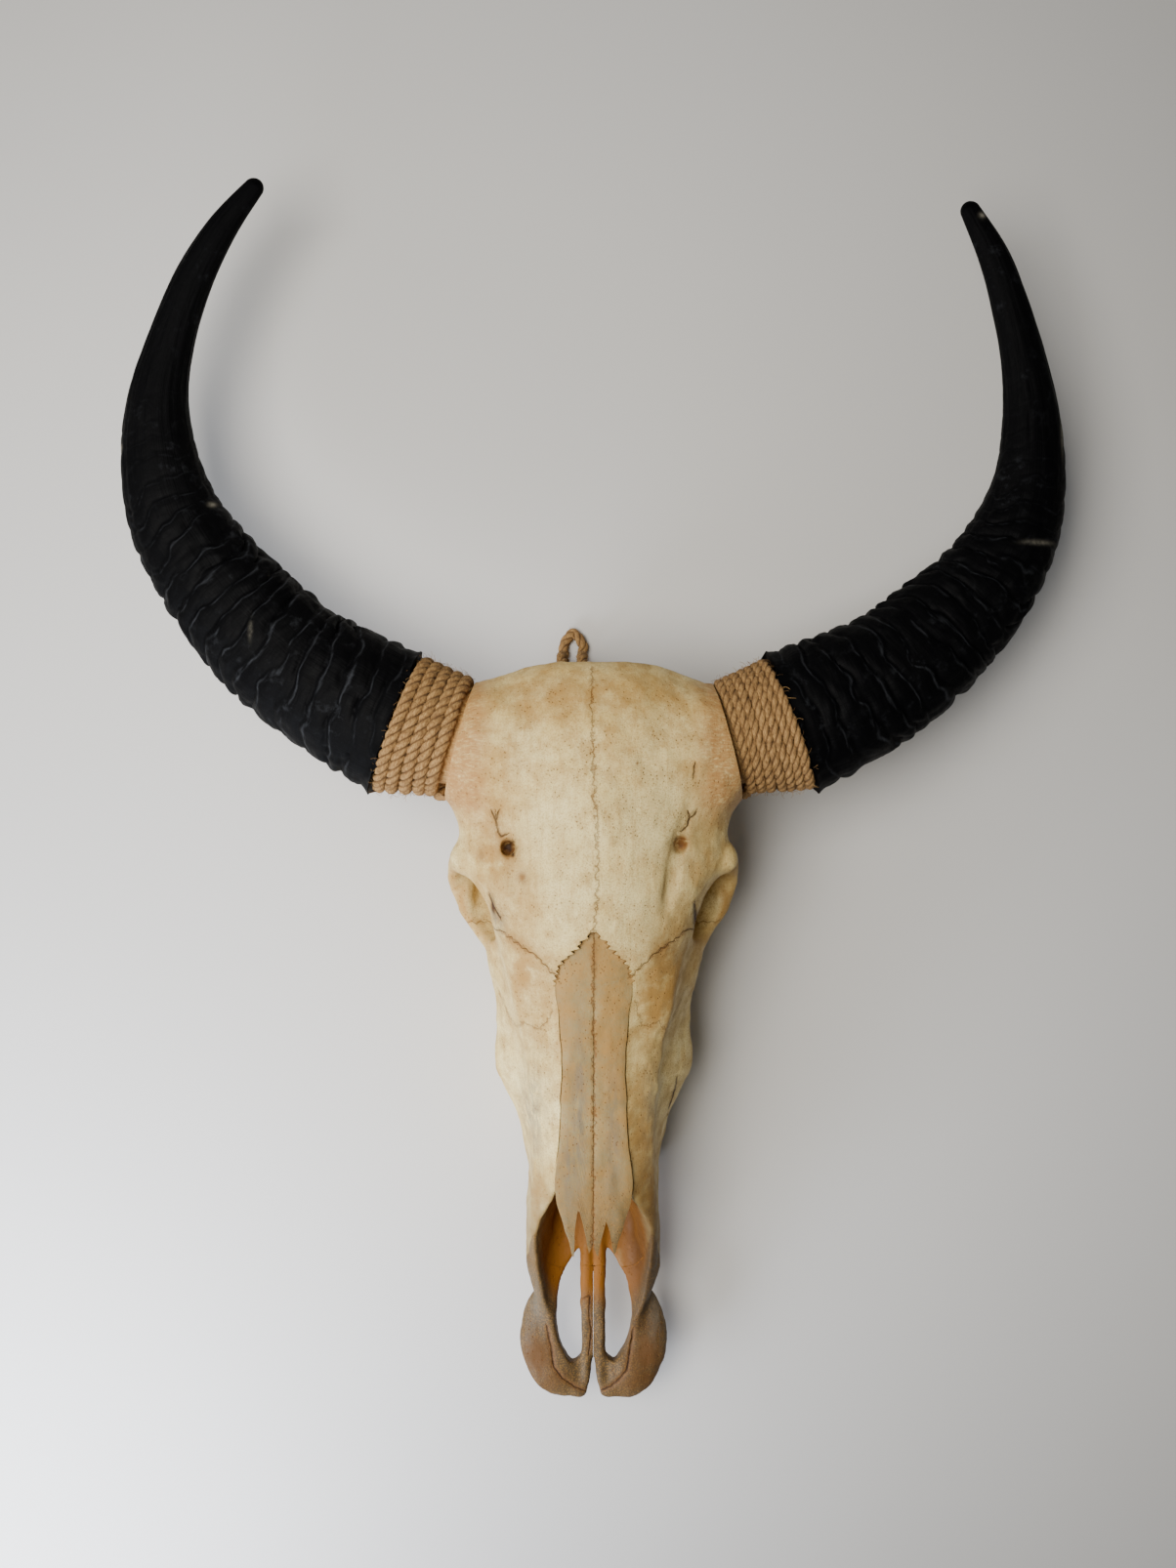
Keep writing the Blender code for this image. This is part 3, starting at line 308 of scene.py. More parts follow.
HORN_WIDTHS = {
    "left": (0.1030, 0.0974, 0.0910, 0.0868, 0.0786, 0.0686, 0.0562, 0.0436, 0.0336, 0.0287, 0.0220, 0.0130),
    "right": (0.1030, 0.0974, 0.0900, 0.0838, 0.0741, 0.0642, 0.0520, 0.0418, 0.0330, 0.0272, 0.0222, 0.0130),
}
HORN_FLATNESS = 0.72
HORN_ROWS = 520
HORN_COLUMNS = 120
HORN_ROW_SPREAD = 1.25
HORN_WRAP = 0.045

# The torn lip at the base of a sheath, and its blunt tip
LIP_LENGTH = 0.006
LIP_DEPTH = 0.0035
LIP_FLARE = 0.0022
TIP_ROUNDING = 0.0065

# Growth folds of the sheaths: their spacing, slant and shift, and how far they stand out along the sheath
FOLD_SPACING = 0.0165
FOLD_SLANT = 0.010
FOLD_LEAN = {"left": 0.5, "right": 0.2}
FOLD_SHIFT = {"left": 0.35, "right": 0.1}
FOLD_STRENGTH = (
    (0.0, 0.0012), (0.03, 0.0030), (0.10, 0.0034), (0.18, 0.0026), (0.23, 0.0012), (0.28, 0.0004),
    (0.36, 0.0001),
)

# Bare places on the sheaths, as (x, y, reach across, reach along, strength)
HORN_CHIPS = (
    (-0.3419, 0.2543, 0.0018, 0.0025, 1.0), (-0.2731, 0.2118, 0.0022, 0.0016, 0.8),
    (0.3380, 0.2685, 0.0014, 0.016, 0.7), (0.3169, 0.1835, 0.010, 0.0016, 0.5),
    (0.2800, 0.4208, 0.0022, 0.0022, 0.9), (-0.2400, 0.1200, 0.0012, 0.006, 0.4),
)

# The hanging loop leaves two drilled holes in the back of the skull, drops to the floor and lies on it
LOOP_RADIUS = ROPE_DIAMETER / 2
HOLE_RADIUS = 0.0046
HOLE_FLOOR_Y = 0.056
HOLE_CUT_LENGTH = 0.08
HOLE_COLUMNS = 24
LOOP_LEG_X = (-0.0228, -0.0083)
LOOP_LEG = (
    (0.0565, 0.118), (0.074, 0.118), (0.0935, 0.1179), (0.1025, 0.1085), (0.1050, 0.085), (0.1045, 0.052),
    (0.1045, 0.024), (0.1075, 0.0090), (0.1135, 0.0045), (0.1205, 0.0043),
)
LOOP_TOP_Y = 0.1293
LOOP_STEPS = 273

# Three-strand rope: how long one turn of a strand is, how deep it lies, and how uneven the rope is
STRAND_PITCH = 0.0225
STRANDS = 3
STRAND_GROOVE = 0.30
BINDING_SWELL = 1.04
ROPE_BULGE = 0.00022
ROPE_BULGE_SPACING = 0.005

# The bindings' turns sway a little, and their tails lift off at the lower inner end
TURN_SWAY = 0.022
TAIL_TURN = 0.34
TAIL_RISE = 0.006
TAIL_POINTS = 40

# Where the bones part: seen from above as (x, y), and seen from the side as (y, z)
FRONTAL_SEAM = (
    (0.0, -0.0879), (0.0220, -0.1225), (0.0385, -0.1056), (0.0640, -0.0890), (0.20, -0.085),
)
PREMAXILLA_SEAM = ((-0.2350, 0.20), (-0.3975, 0.0))
CHEEKBONE_OUTLINE = (
    (-0.150, 0.078), (-0.148, 0.090), (-0.101, 0.119), (-0.080, 0.112), (-0.055, 0.125), (-0.029, 0.125),
    (-0.0215, 0.108), (-0.0215, 0.068), (-0.140, 0.068),
)
CHEEKBONE_INNER_X = 0.0605

# Single pits, as (centre, radii, depth): the openings above the eye sockets and small pits of the forehead
DENTS = (
    ((-0.0583, -0.0320, 0.190), (0.0030, 0.0038, 0.02), 0.0040),
    ((-0.0540, -0.0300, 0.190), (0.0022, 0.0024, 0.02), 0.0025),
    ((-0.0535, -0.0385, 0.190), (0.0018, 0.0018, 0.02), 0.0020),
    ((-0.0600, -0.0300, 0.190), (0.0110, 0.0150, 0.03), 0.0014),
    ((-0.0480, -0.0510, 0.192), (0.0046, 0.0052, 0.02), 0.0016),
    ((0.0595, -0.0285, 0.190), (0.0050, 0.0056, 0.02), 0.0020),
    ((0.0560, -0.0480, 0.190), (0.0160, 0.0240, 0.04), 0.0018),
    ((-0.0520, -0.0700, 0.190), (0.0160, 0.0220, 0.04), 0.0012),
    ((0.0520, -0.1750, 0.120), (0.0160, 0.0300, 0.05), 0.0022),
    ((-0.0520, -0.1750, 0.120), (0.0160, 0.0300, 0.05), 0.0018),
)

# Grooves seen from above, with painted shade: over the left eye socket, over the right one, and round the
# muzzle's ends
GROOVES = (
    ((-0.0688, -0.0077), (-0.0659, -0.0143), (-0.0649, -0.0215), (-0.0626, -0.0242), (-0.0593, -0.0228)),
    ((-0.0642, -0.0077), (-0.0659, -0.0130)),
    ((0.0599, -0.0195), (0.0632, -0.0169), (0.0645, -0.0116), (0.0638, -0.0084)),
    ((0.0645, -0.0116), (0.0678, -0.0103), (0.0691, -0.0077)),
    ((-0.0715, -0.0640), (-0.0690, -0.0720), (-0.0640, -0.0800)),
    ((0.0690, -0.0700), (0.0700, -0.0800), (0.0725, -0.0900)),
    ((-0.0349, -0.3960), (-0.0313, -0.4137), (-0.0298, -0.4269), (-0.0232, -0.4358), (-0.0150, -0.4424),
     (-0.0077, -0.4461)),
    ((0.0299, -0.3974), (0.0277, -0.4137), (0.0255, -0.4284), (0.0196, -0.4365), (0.0137, -0.4424),
     (0.0070, -0.4461)),
)
GROOVE_WIDTH = 0.0019
GROOVE_DEPTH = 0.0012

# Thin cracks without depth, and the seams between bones that are drawn on the surface
CRACKS = (
    ((0.0677, 0.0241), (0.0670, 0.0168)),
    ((-0.0069, -0.3746), (-0.0025, -0.3724), (-0.0033, -0.3879), (-0.0011, -0.4004), (-0.0033, -0.4173)),
    ((0.0604, -0.2002), (0.0590, -0.2104), (0.0546, -0.2265), (0.0516, -0.2426)),
)
SEAMS = (
    ((-0.0289, -0.1444), (-0.0338, -0.1541), (-0.0393, -0.1575), (-0.0483, -0.1534), (-0.0539, -0.1596),
     (-0.0580, -0.1569), (-0.0629, -0.1472), (-0.0677, -0.1382)),
    ((0.0285, -0.1382), (0.0327, -0.1527), (0.0382, -0.1569), (0.0452, -0.1527), (0.0507, -0.1596),
     (0.0555, -0.1555), (0.0597, -0.1458), (0.0659, -0.1333)),
    ((-0.0640, -0.0890), (-0.0385, -0.1056), (-0.0250, -0.1190)),
    ((0.0640, -0.0890), (0.0385, -0.1056), (0.0250, -0.1190)),
)
MIDLINE = (
    (-0.0013, 0.0900), (-0.0014, 0.0529), (-0.0001, 0.0198), (0.0012, -0.0125), (0.0025, -0.0385),
    (0.0019, -0.0648), (0.0, -0.0879), (0.0, -0.3300),
)

# Stains seen from above, and painted shade in openings, as (x, y, reach across, reach along, strength)
TAN_MARKS = (
    (-0.030, 0.070, 0.045, 0.024, 0.7), (0.040, 0.075, 0.040, 0.018, 0.6),
    (-0.070, -0.040, 0.022, 0.030, 0.8), (-0.048, -0.065, 0.018, 0.030, 0.7),
    (0.070, -0.035, 0.020, 0.026, 0.7), (0.052, -0.080, 0.014, 0.024, 0.6),
    (-0.062, 0.010, 0.016, 0.040, 0.7), (0.066, 0.020, 0.014, 0.034, 0.6),
    (-0.048, -0.120, 0.020, 0.028, 1.0), (0.050, -0.120, 0.022, 0.032, 1.0),
    (0.045, -0.150, 0.012, 0.030, 0.6), (0.0, -0.105, 0.010, 0.020, 0.7),
    (-0.020, -0.155, 0.012, 0.050, 0.5), (0.012, -0.165, 0.010, 0.060, 0.7),
    (-0.048, -0.165, 0.012, 0.016, 0.7), (-0.040, -0.300, 0.010, 0.050, 0.8),
    (0.042, -0.290, 0.012, 0.060, 0.9), (0.0, -0.290, 0.020, 0.030, 0.7),
    (0.030, -0.230, 0.012, 0.060, 0.6), (0.020, 0.030, 0.010, 0.016, 0.4),
)
BROWN_MARKS = (
    (-0.0583, -0.0320, 0.0036, 0.0042, 2.5), (-0.0560, -0.0340, 0.0060, 0.0080, 0.45),
    (-0.0480, -0.0510, 0.0036, 0.0040, 0.9), (0.0595, -0.0285, 0.0046, 0.0052, 1.6),
    (-0.0771, -0.0373, 0.0030, 0.0050, 0.5), (0.0289, 0.0252, 0.0010, 0.0010, 1.0),
    (0.0309, 0.0127, 0.0008, 0.0016, 0.8), (-0.0660, -0.0240, 0.0060, 0.0120, 0.25),
    (0.0000, -0.1060, 0.0030, 0.0100, 0.4), (-0.0560, -0.0960, 0.0100, 0.0080, 0.3),
    (0.0500, -0.1000, 0.0120, 0.0100, 0.35),
)
# Painted shade in the openings over and behind the eye sockets, and on the right wall of the nose passage
HOLE_SHADE_MARKS = (
    (-0.0583, -0.0320, 0.0030, 0.0036, 2.4), (-0.0545, -0.0365, 0.0012, 0.0014, 1.2),
    (-0.0548, -0.0275, 0.0010, 0.0010, 0.8), (-0.0690, -0.0730, 0.0016, 0.0070, 1.2),
    (0.0700, -0.0800, 0.0018, 0.0080, 1.2), (0.0590, -0.0300, 0.0020, 0.0024, 0.7),
    (0.0350, -0.3350, 0.0120, 0.0450, 0.75),
)
GREY_MARKS = (
    (-0.044, -0.225, 0.008, 0.040, 0.9), (-0.010, -0.215, 0.005, 0.060, 0.9),
    (0.014, -0.235, 0.006, 0.050, 0.7), (0.040, -0.215, 0.006, 0.040, 0.6),
    (-0.066, -0.082, 0.006, 0.009, 0.9), (-0.018, -0.260, 0.004, 0.030, 0.7),
    (-0.046, -0.385, 0.008, 0.030, 0.8), (0.047, -0.385, 0.008, 0.030, 0.8),
)
PALE_MARKS = (
    (0.040, -0.010, 0.034, 0.050, 1.0), (-0.030, -0.020, 0.024, 0.045, 0.8),
    (0.030, -0.070, 0.024, 0.030, 0.9), (-0.020, -0.080, 0.016, 0.030, 0.7),
    (-0.045, -0.200, 0.016, 0.034, 0.8), (0.050, -0.195, 0.016, 0.026, 0.5),
    (-0.055, -0.055, 0.010, 0.010, 0.4),
)
ORANGE_MARKS = (
    (-0.042, -0.420, 0.013, 0.022, 1.0), (0.040, -0.418, 0.013, 0.026, 1.0),
    (-0.024, -0.440, 0.014, 0.010, 0.5), (0.026, -0.440, 0.014, 0.010, 0.5),
    (0.0, -0.345, 0.006, 0.020, 0.6),
)

# Cracks fade out where the face turns steep beyond this x and this y
STEEP_FROM = (0.036, -0.115)
# The smoky muzzle darkens forward of this y, over this reach
MUZZLE_DARK_FROM = -0.245
MUZZLE_DARK_REACH = 0.070
# The painted shade in the eye sockets lies about this far from their centre
SOCKET_SHADE_AT = 0.026
SOCKET_SHADE_REACH = 0.014

Form = namedtuple("Form", "distance low high")


def linear(code):
    """The linear colour of an sRGB hex value, with alpha 1."""
    parts = [int(code[n : n + 2], 16) / 255 for n in (0, 2, 4)]
    return (*(p / 12.92 if p <= 0.04045 else ((p + 0.055) / 1.055) ** 2.4 for p in parts), 1.0)


def place_camera():
    """The camera at the photograph's place, upright along Y."""
    lens = bpy.data.cameras.new("camera")
    lens.lens = CAMERA_LENS_MM
    lens.sensor_width = CAMERA_SENSOR_MM
    lens.clip_start = CAMERA_SEES_FROM
    lens.clip_end = CAMERA_SEES_TO
    made = new_object("camera", lens)
    made.location = CAMERA_PLACE
    bpy.context.scene.camera = made


def new_object(name, data):
    """An object with this data, in the scene."""
    made = bpy.data.objects.new(name, data)
    bpy.context.scene.collection.objects.link(made)
    return made


def curve(stations):
    """A smooth function through (place, value) stations, level beyond its ends."""
    places, values = np.array(stations, np.float32).T
    slopes = np.gradient(values, places)

    def at(place):
        index = np.clip(np.searchsorted(places, place) - 1, 0, len(places) - 2)
        width = places[index + 1] - places[index]
        t = np.clip((place - places[index]) / width, 0, 1)
        rise = t * t * (3 - 2 * t)
        ease_in = t * (1 - t) ** 2 * width * slopes[index]
        ease_out = t * t * (1 - t) * width * slopes[index + 1]
        return values[index] * (1 - rise) + values[index + 1] * rise + ease_in - ease_out

    return at


roof = curve(ROOF_HEIGHTS)
crown = curve(ROOF_CROWN)
nasal_top = curve(NASAL_TOPS)
nasal_width = curve(NASAL_WIDTHS)


def route_point(points, place):
    """A point of the smooth curve through evenly numbered points."""
    index = min(int(place), len(points) - 2)
    t = place - index
    before = points[index - 1] if index else 2 * points[0] - points[1]
    after = points[index + 2] if index + 2 < len(points) else 2 * points[-1] - points[-2]
    a, b = points[index], points[index + 1]
    return 0.5 * (2 * a + (b - before) * t + (2 * before - 5 * a + 4 * b - after) * t**2
                  + (3 * a - before - 3 * b + after) * t**3)


def line_gaps(points, lines):
    """(signed, plain) distances in plan from points to the nearest of some lines of (x, y) places."""
    plan = points[:, :2]
    signed, plain = np.full(len(plan), 0.05), np.full(len(plan), 0.05)
    for line in lines:
        for a, b in zip(np.array(line), np.array(line)[1:]):
            way = b - a
            share = np.clip((plan - a) @ way / (way @ way), 0, 1)
            off = plan - a - share[:, None] * way
            gap = np.hypot(*off.T)
            side = np.where(way[0] * off[:, 1] - way[1] * off[:, 0] < 0, -1.0, 1.0)
            closer = gap < plain
            plain = np.where(closer, gap, plain)
            signed = np.where(closer, gap * side, signed)
    return signed, plain


def smooth_max(a, b, blend):
    """The larger of two distances, rounded over a fillet of about the blend's size."""
    share = np.clip(0.5 + 0.5 * (a - b) / blend, 0, 1)
    return b * (1 - share) + a * share + blend * share * (1 - share)


def smooth_min(a, b, blend):
    """The smaller of two distances, rounded in the same way."""
    return -smooth_max(-a, -b, blend)


class Clay:
    """The right half of the bone on a grid of distances, negative inside it. The left half mirrors it."""

    def __init__(self, low, high, step):
        self.step = step
        self.axes = [np.arange(a, b + step, step, dtype=np.float32) for a, b in zip(low, high)]
        self.field = np.full([len(axis) for axis in self.axes], 0.05, np.float32)

    def window(self, form, margin):
        bounds = []
        for axis, low, high in zip(self.axes, form.low, form.high):
            bounds.append(np.searchsorted(axis, (low - margin, high + margin)))
        parts = tuple(slice(a, b) for a, b in bounds)
        x, y, z = (axis[part] for axis, part in zip(self.axes, parts))
        return parts, form.distance(x[:, None, None], y[None, :, None], z[None, None, :])

    def add(self, form, blend=0.006):
        parts, distance = self.window(form, 0.02 + blend)
        self.field[parts] = smooth_min(self.field[parts], distance, blend)

    def cut(self, form, blend=0.003):
        parts, distance = self.window(form, 0.004 + blend)
        self.field[parts] = smooth_max(self.field[parts], -distance, blend)

    def soften(self):
        """Rounds creases without moving flat surfaces."""
        for axis in range(3):
            middle = [slice(None)] * 3
            before, after = list(middle), list(middle)
            middle[axis], before[axis], after[axis] = slice(1, -1), slice(None, -2), slice(2, None)
            mixed = (self.field[tuple(before)] + 2 * self.field[tuple(middle)] + self.field[tuple(after)]) / 4
            self.field = self.field.copy()
            self.field[tuple(middle)] = mixed

    def surface(self):
        """(points, quads) of both halves, with one point in each grid cell that the surface crosses."""
        field = np.concatenate([self.field[:0:-1], self.field])
        low = np.array([-self.axes[0][-1], self.axes[1][0], self.axes[2][0]])
        inside = field < 0
        shape = [n - 1 for n in field.shape]
        corners = [(i, j, k) for i in (0, 1) for j in (0, 1) for k in (0, 1)]
        shifted = (inside[tuple(slice(o, o + n) for o, n in zip(corner, shape))] for corner in corners)
        count = sum(part.astype(np.int8) for part in shifted)
        cells = np.argwhere((count > 0) & (count < len(corners)))
        number = np.full(shape, -1, np.int64)
        number[tuple(cells.T)] = np.arange(len(cells))
        total, crossings = np.zeros((len(cells), 3)), np.zeros(len(cells))
        for start in corners:
            for axis in (n for n in range(3) if not start[n]):
                end = tuple(1 if n == axis else value for n, value in enumerate(start))
                a, b = field[tuple((cells + start).T)], field[tuple((cells + end).T)]
                crossed = (a < 0) != (b < 0)
                share = np.where(crossed, a / np.where(crossed, a - b, 1), 0)
                total += (np.array(start, float) + share[:, None] * np.eye(3)[axis]) * crossed[:, None]
                crossings += crossed
        points = low + (cells + total / crossings[:, None]) * self.step
        return points, np.concatenate([quads_across(inside, number, axis) for axis in range(3)])


def quads_across(inside, number, axis):
    """A quad around each grid edge along an axis that crosses the surface, facing out."""
    one, two = (n for n in range(3) if n != axis)
    head = [slice(1, -1)] * 3
    head[axis] = slice(0, -1)
    tail = list(head)
    tail[axis] = slice(1, None)
    a, b = inside[tuple(head)], inside[tuple(tail)]
    quads = []
    for crossed, turned in ((a & ~b, axis == 1), (b & ~a, axis != 1)):
        at = np.argwhere(crossed)
        at[:, [one, two]] += 1
        ring = []
        for back_one, back_two in ((1, 1), (0, 1), (0, 0), (1, 0)):
            cell = at.copy()
            cell[:, one] -= back_one
            cell[:, two] -= back_two
            ring.append(number[tuple(cell.T)])
        ring = np.stack(ring, 1)
        quads.append(ring[:, ::-1] if turned else ring)
    return np.concatenate(quads)


def ellipsoid(centre, radii, axis=None):
    """An ellipsoid. With an axis, its third radius lies along it."""
    centre, radii = np.array(centre, np.float32), np.array(radii, np.float32)
    frame = np.eye(3, dtype=np.float32)
    if axis is not None:
        frame = np.array(Vector(axis).to_track_quat("Z", "Y").to_matrix().transposed(), np.float32)

    def distance(x, y, z):
        p = (x - centre[0], y - centre[1], z - centre[2])
        turned = [sum(row[n] * p[n] for n in range(3)) for row in frame]
        near = np.sqrt(sum((t / r) ** 2 for t, r in zip(turned, radii)))
        far = np.sqrt(sum((t / r**2) ** 2 for t, r in zip(turned, radii)))
        return near * (near - 1) / np.maximum(far, 1e-6)

    reach = np.sqrt(((frame * radii[:, None]) ** 2).sum(0))
    return Form(distance, centre - reach, centre + reach)


def bar(points, radii, squash=(1, 1, 1), joint=0.004):
    """Round bars from point to point, each tapering to the next radius, narrowed by squash on each axis."""
    points, squash = np.array(points, np.float32), np.array(squash, np.float32)

    def distance(x, y, z):
        best = None
        for a, b, ra, rb in zip(points, points[1:], radii, radii[1:]):
            a, b = a / squash, b / squash
            d = b - a
            p = (x / squash[0] - a[0], y / squash[1] - a[1], z / squash[2] - a[2])
            t = np.clip(sum(p[n] * d[n] for n in range(3)) / (d @ d), 0, 1)
            gap = np.sqrt(sum((p[n] - t * d[n]) ** 2 for n in range(3))) - (ra + (rb - ra) * t)
            best = gap if best is None else smooth_min(best, gap, joint)
        return best * squash.min()

    reach = max(radii) * squash
    return Form(distance, points.min(0) - reach, points.max(0) + reach)


def hoop(centre, axis, radius, thickness):
    """A round hoop about an axis."""
    centre, axis = np.array(centre, np.float32), np.array(axis, np.float32)

    def distance(x, y, z):
        p = (x - centre[0], y - centre[1], z - centre[2])
        along = sum(p[n] * axis[n] for n in range(3))
        out = np.sqrt(np.maximum(sum(c * c for c in p) - along**2, 0))
        return np.hypot(out - radius, along) - thickness

    reach = radius + thickness
    return Form(distance, centre - reach, centre + reach)


def cranial_roof():
    """The broad frontal shelf from the brows to the poll, its nuchal face leaning in below."""
    brow = curve(BROW_WIDTHS)

    def distance(x, y, z):
        curvature = crown(y)
        top = (z - (roof(y) - curvature * x**2)) / np.sqrt(1 + (2 * curvature * x) ** 2)
        side = (x - brow(y)) * 0.9
        under = 0.146 - z
        back = y - (POLL_Y - POLL_SWEEP * x**4) - np.minimum(z - 0.155, 0) * NUCHAL_LEAN
        front = -0.12 - y
        body = smooth_max(smooth_max(top, side, 0.012), under, 0.006)
        return smooth_max(smooth_max(body, back, 0.032), front, 0.03)

    return Form(distance, (0, -0.12, 0.13), (0.11, 0.10, 0.22))


def face_half_width(y, z):
    """How far the face's wall stands from the midline at a height, from the jaw up to the nasal edge."""
    top = roof(y)
    levels = (curve(UNDER_HEIGHTS)(y), curve(CREST_HEIGHTS)(y), top - SHOULDER_DROP, top)
    widths = [curve(w)(y) for w in (JAW_WIDTHS, CREST_WIDTHS, SHOULDER_WIDTHS, NASAL_EDGE_WIDTHS)]
    half = widths[0] + 0 * z
    for low, high, narrow, wide in zip(levels, levels[1:], widths, widths[1:]):
        t = np.clip((z - low) / np.maximum(high - low, 0.004), 0, 1)
        half = half + (wide - narrow) * t * t * (3 - 2 * t)
    return half


def face():
    """The long tapering face, from between the eye sockets to the muzzle."""
    under = curve(UNDER_HEIGHTS)

    def distance(x, y, z):
        top = z - (roof(y) - crown(y) * x**2)
        side = (x - face_half_width(y, z)) * 0.85
        low = under(y) - z
        ends = np.maximum(y + 0.060, MUZZLE_Y + 0.035 - y)
        return smooth_max(smooth_max(smooth_max(top, side, 0.010), low, 0.006), ends, 0.008)

    return Form(distance, (0, MUZZLE_Y + 0.03, 0.01), (0.08, -0.06, 0.21))


def nasal_cavity():
    """The nasal passage, open upward where the nasal bones roof it and ahead of them."""
    width = curve(CAVITY_WIDTHS)

    def distance(x, y, z):
        rim = np.minimum(roof(y), 0.115) - 0.008
        half = width(y) - 0.0095 * np.clip((rim - z) / 0.03, 0, 1)
        ends = np.maximum(y + 0.190, -0.424 - y)
        return smooth_max(smooth_max(x - half, CAVITY_FLOOR - z, 0.012), ends, 0.02)

    return Form(distance, (0, -0.43, CAVITY_FLOOR), (0.045, -0.19, 0.20))


def palatine_fissure():
    """The long drop-shaped opening beside the midline, clear through the floor of the nose."""
    inner, outer = curve(FISSURE_INNER_EDGE), curve(FISSURE_OUTER_EDGE)

    def distance(x, y, z):
        sides = np.maximum(inner(y) - x, (x - outer(y)) * 0.8)
        ends = np.maximum(y - FISSURE_REAR, FISSURE_FRONT - y)
        return smooth_max(sides, ends, 0.002) + 0 * z

    return Form(distance, (0.0084, FISSURE_FRONT, 0.02), (0.0284, FISSURE_REAR, 0.09))


def add_base(clay):
    """The nuchal face, condyles, jugular processes, ear bones and the floor of the braincase."""
    clay.add(ellipsoid((0, 0.052, 0.108), (0.066, 0.030, 0.052)), 0.012)
    clay.add(ellipsoid((0.052, 0.040, 0.098), (0.024, 0.022, 0.030)), 0.010)
    floor = [(0, 0.062, 0.064), (0, 0.0, 0.064), (0, -0.07, 0.066)]
    clay.add(bar(floor, [0.021, 0.017, 0.013], (1, 1, 0.8)), 0.012)
    clay.add(ellipsoid((0.0245, 0.071, 0.056), (0.016, 0.019, 0.026), (0.35, -0.2, 1)), 0.006)
    jugular = [(0.054, 0.042, 0.090), (0.057, 0.050, 0.045), (0.053, 0.050, 0.006)]
    clay.add(bar(jugular, [0.017, 0.012, 0.009], (0.8, 1, 1)), 0.008)
    clay.add(ellipsoid((0.040, 0.012, 0.056), (0.012, 0.020, 0.019)), 0.006)
    clay.add(bar([(0.045, 0.018, 0.075), (0.074, 0.026, 0.086)], [0.012, 0.0085]), 0.008)
    clay.cut(bar([(0.060, 0.0235, 0.083), (0.090, 0.030, 0.090)], [0.0035, 0.0045]), 0.002)
    clay.cut(ellipsoid((0, 0.082, 0.079), (0.0185, 0.045, 0.0165)), 0.004)


def add_eye_region(clay):
    """The eye socket with its rim, the bar behind it, and the cheekbone running back to the ear."""
    clay.add(ellipsoid((0.0595, -0.100, 0.108), (0.0165, 0.034, 0.022)), 0.012)
    cheek = [(0.084, -0.076, 0.101), (0.0675, -0.110, 0.100), (0.062, -0.160, 0.092), (0.0635, -0.193, 0.087)]
    clay.add(bar(cheek, [0.008, 0.007, 0.006, 0.006]), 0.008)
    clay.add(bar([(0.058, 0.004, 0.084), (0.080, 0.002, 0.083)], [0.014, 0.011], (1, 1.2, 0.8)), 0.010)
    clay.add(hoop(ORBIT_CENTRE, ORBIT_AXIS, ORBIT_RADIUS + 0.0022, 0.0044), 0.008)
    clay.add(ellipsoid((0.0795, -0.073, 0.088), (0.0135, 0.021, 0.011)), 0.008)
    clay.add(bar([(0.078, -0.060, 0.086), (0.048, -0.055, 0.080)], [0.012, 0.014]), 0.008)
    socket = ORBIT_CENTRE - ORBIT_AXIS * 0.016
    clay.cut(ellipsoid(socket, (ORBIT_RADIUS, ORBIT_RADIUS, 0.044), ORBIT_AXIS), 0.003)
    rear_bar = [(0.0935, -0.040, 0.150), (0.0955, -0.041, 0.126), (0.0935, -0.044, 0.101)]
    clay.add(bar(rear_bar, [0.0085, 0.0065, 0.0085], (0.8, 1, 1)), 0.008)
    arch = [(0.079, 0.006, 0.083), (0.0895, -0.018, 0.088), (0.0935, -0.046, 0.098), (0.0915, -0.072, 0.098)]
    clay.add(bar(arch, [0.0085, 0.0085, 0.0105, 0.0085], (0.62, 1, 1)), 0.006)
    clay.cut(ellipsoid((0.0585, -0.031, 0.1925), (0.0040, 0.0050, 0.012)), 0.002)
    groove = [(0.0655, 0.004, 0.1890), (0.0595, -0.030, 0.1965), (0.050, -0.072, 0.1930)]
    clay.cut(bar(groove, [0.0035, 0.0060, 0.0030]), 0.006)


def add_core_roots(clay):
    """The roots of the horn cores, swelling out of the back of the forehead."""
    clay.add(bar([(0.040, 0.030, 0.150), (0.0927, 0.0434, 0.1425), (0.112, 0.048, 0.140)],
                 [0.044, 0.0375, 0.0375], (1, 1, 0.82)), 0.030)
    clay.add(ellipsoid((0.070, 0.030, 0.168), (0.032, 0.036, 0.020)), 0.02)


def add_palate(clay):
    """The vaulted palate, the rear openings of the nose, and the plates beside them."""
    clay.cut(ellipsoid((0, -0.200, 0.004), (0.0425, 0.130, 0.036)), 0.008)
    clay.cut(ellipsoid((0, -0.072, 0.036), (0.0195, 0.052, 0.022)), 0.006)
    clay.add(ellipsoid((0.0265, -0.078, 0.050), (0.0058, 0.036, 0.024)), 0.008)
    clay.cut(ellipsoid((0.0545, -0.243, 0.064), (0.007, 0.012, 0.0055)), 0.003)


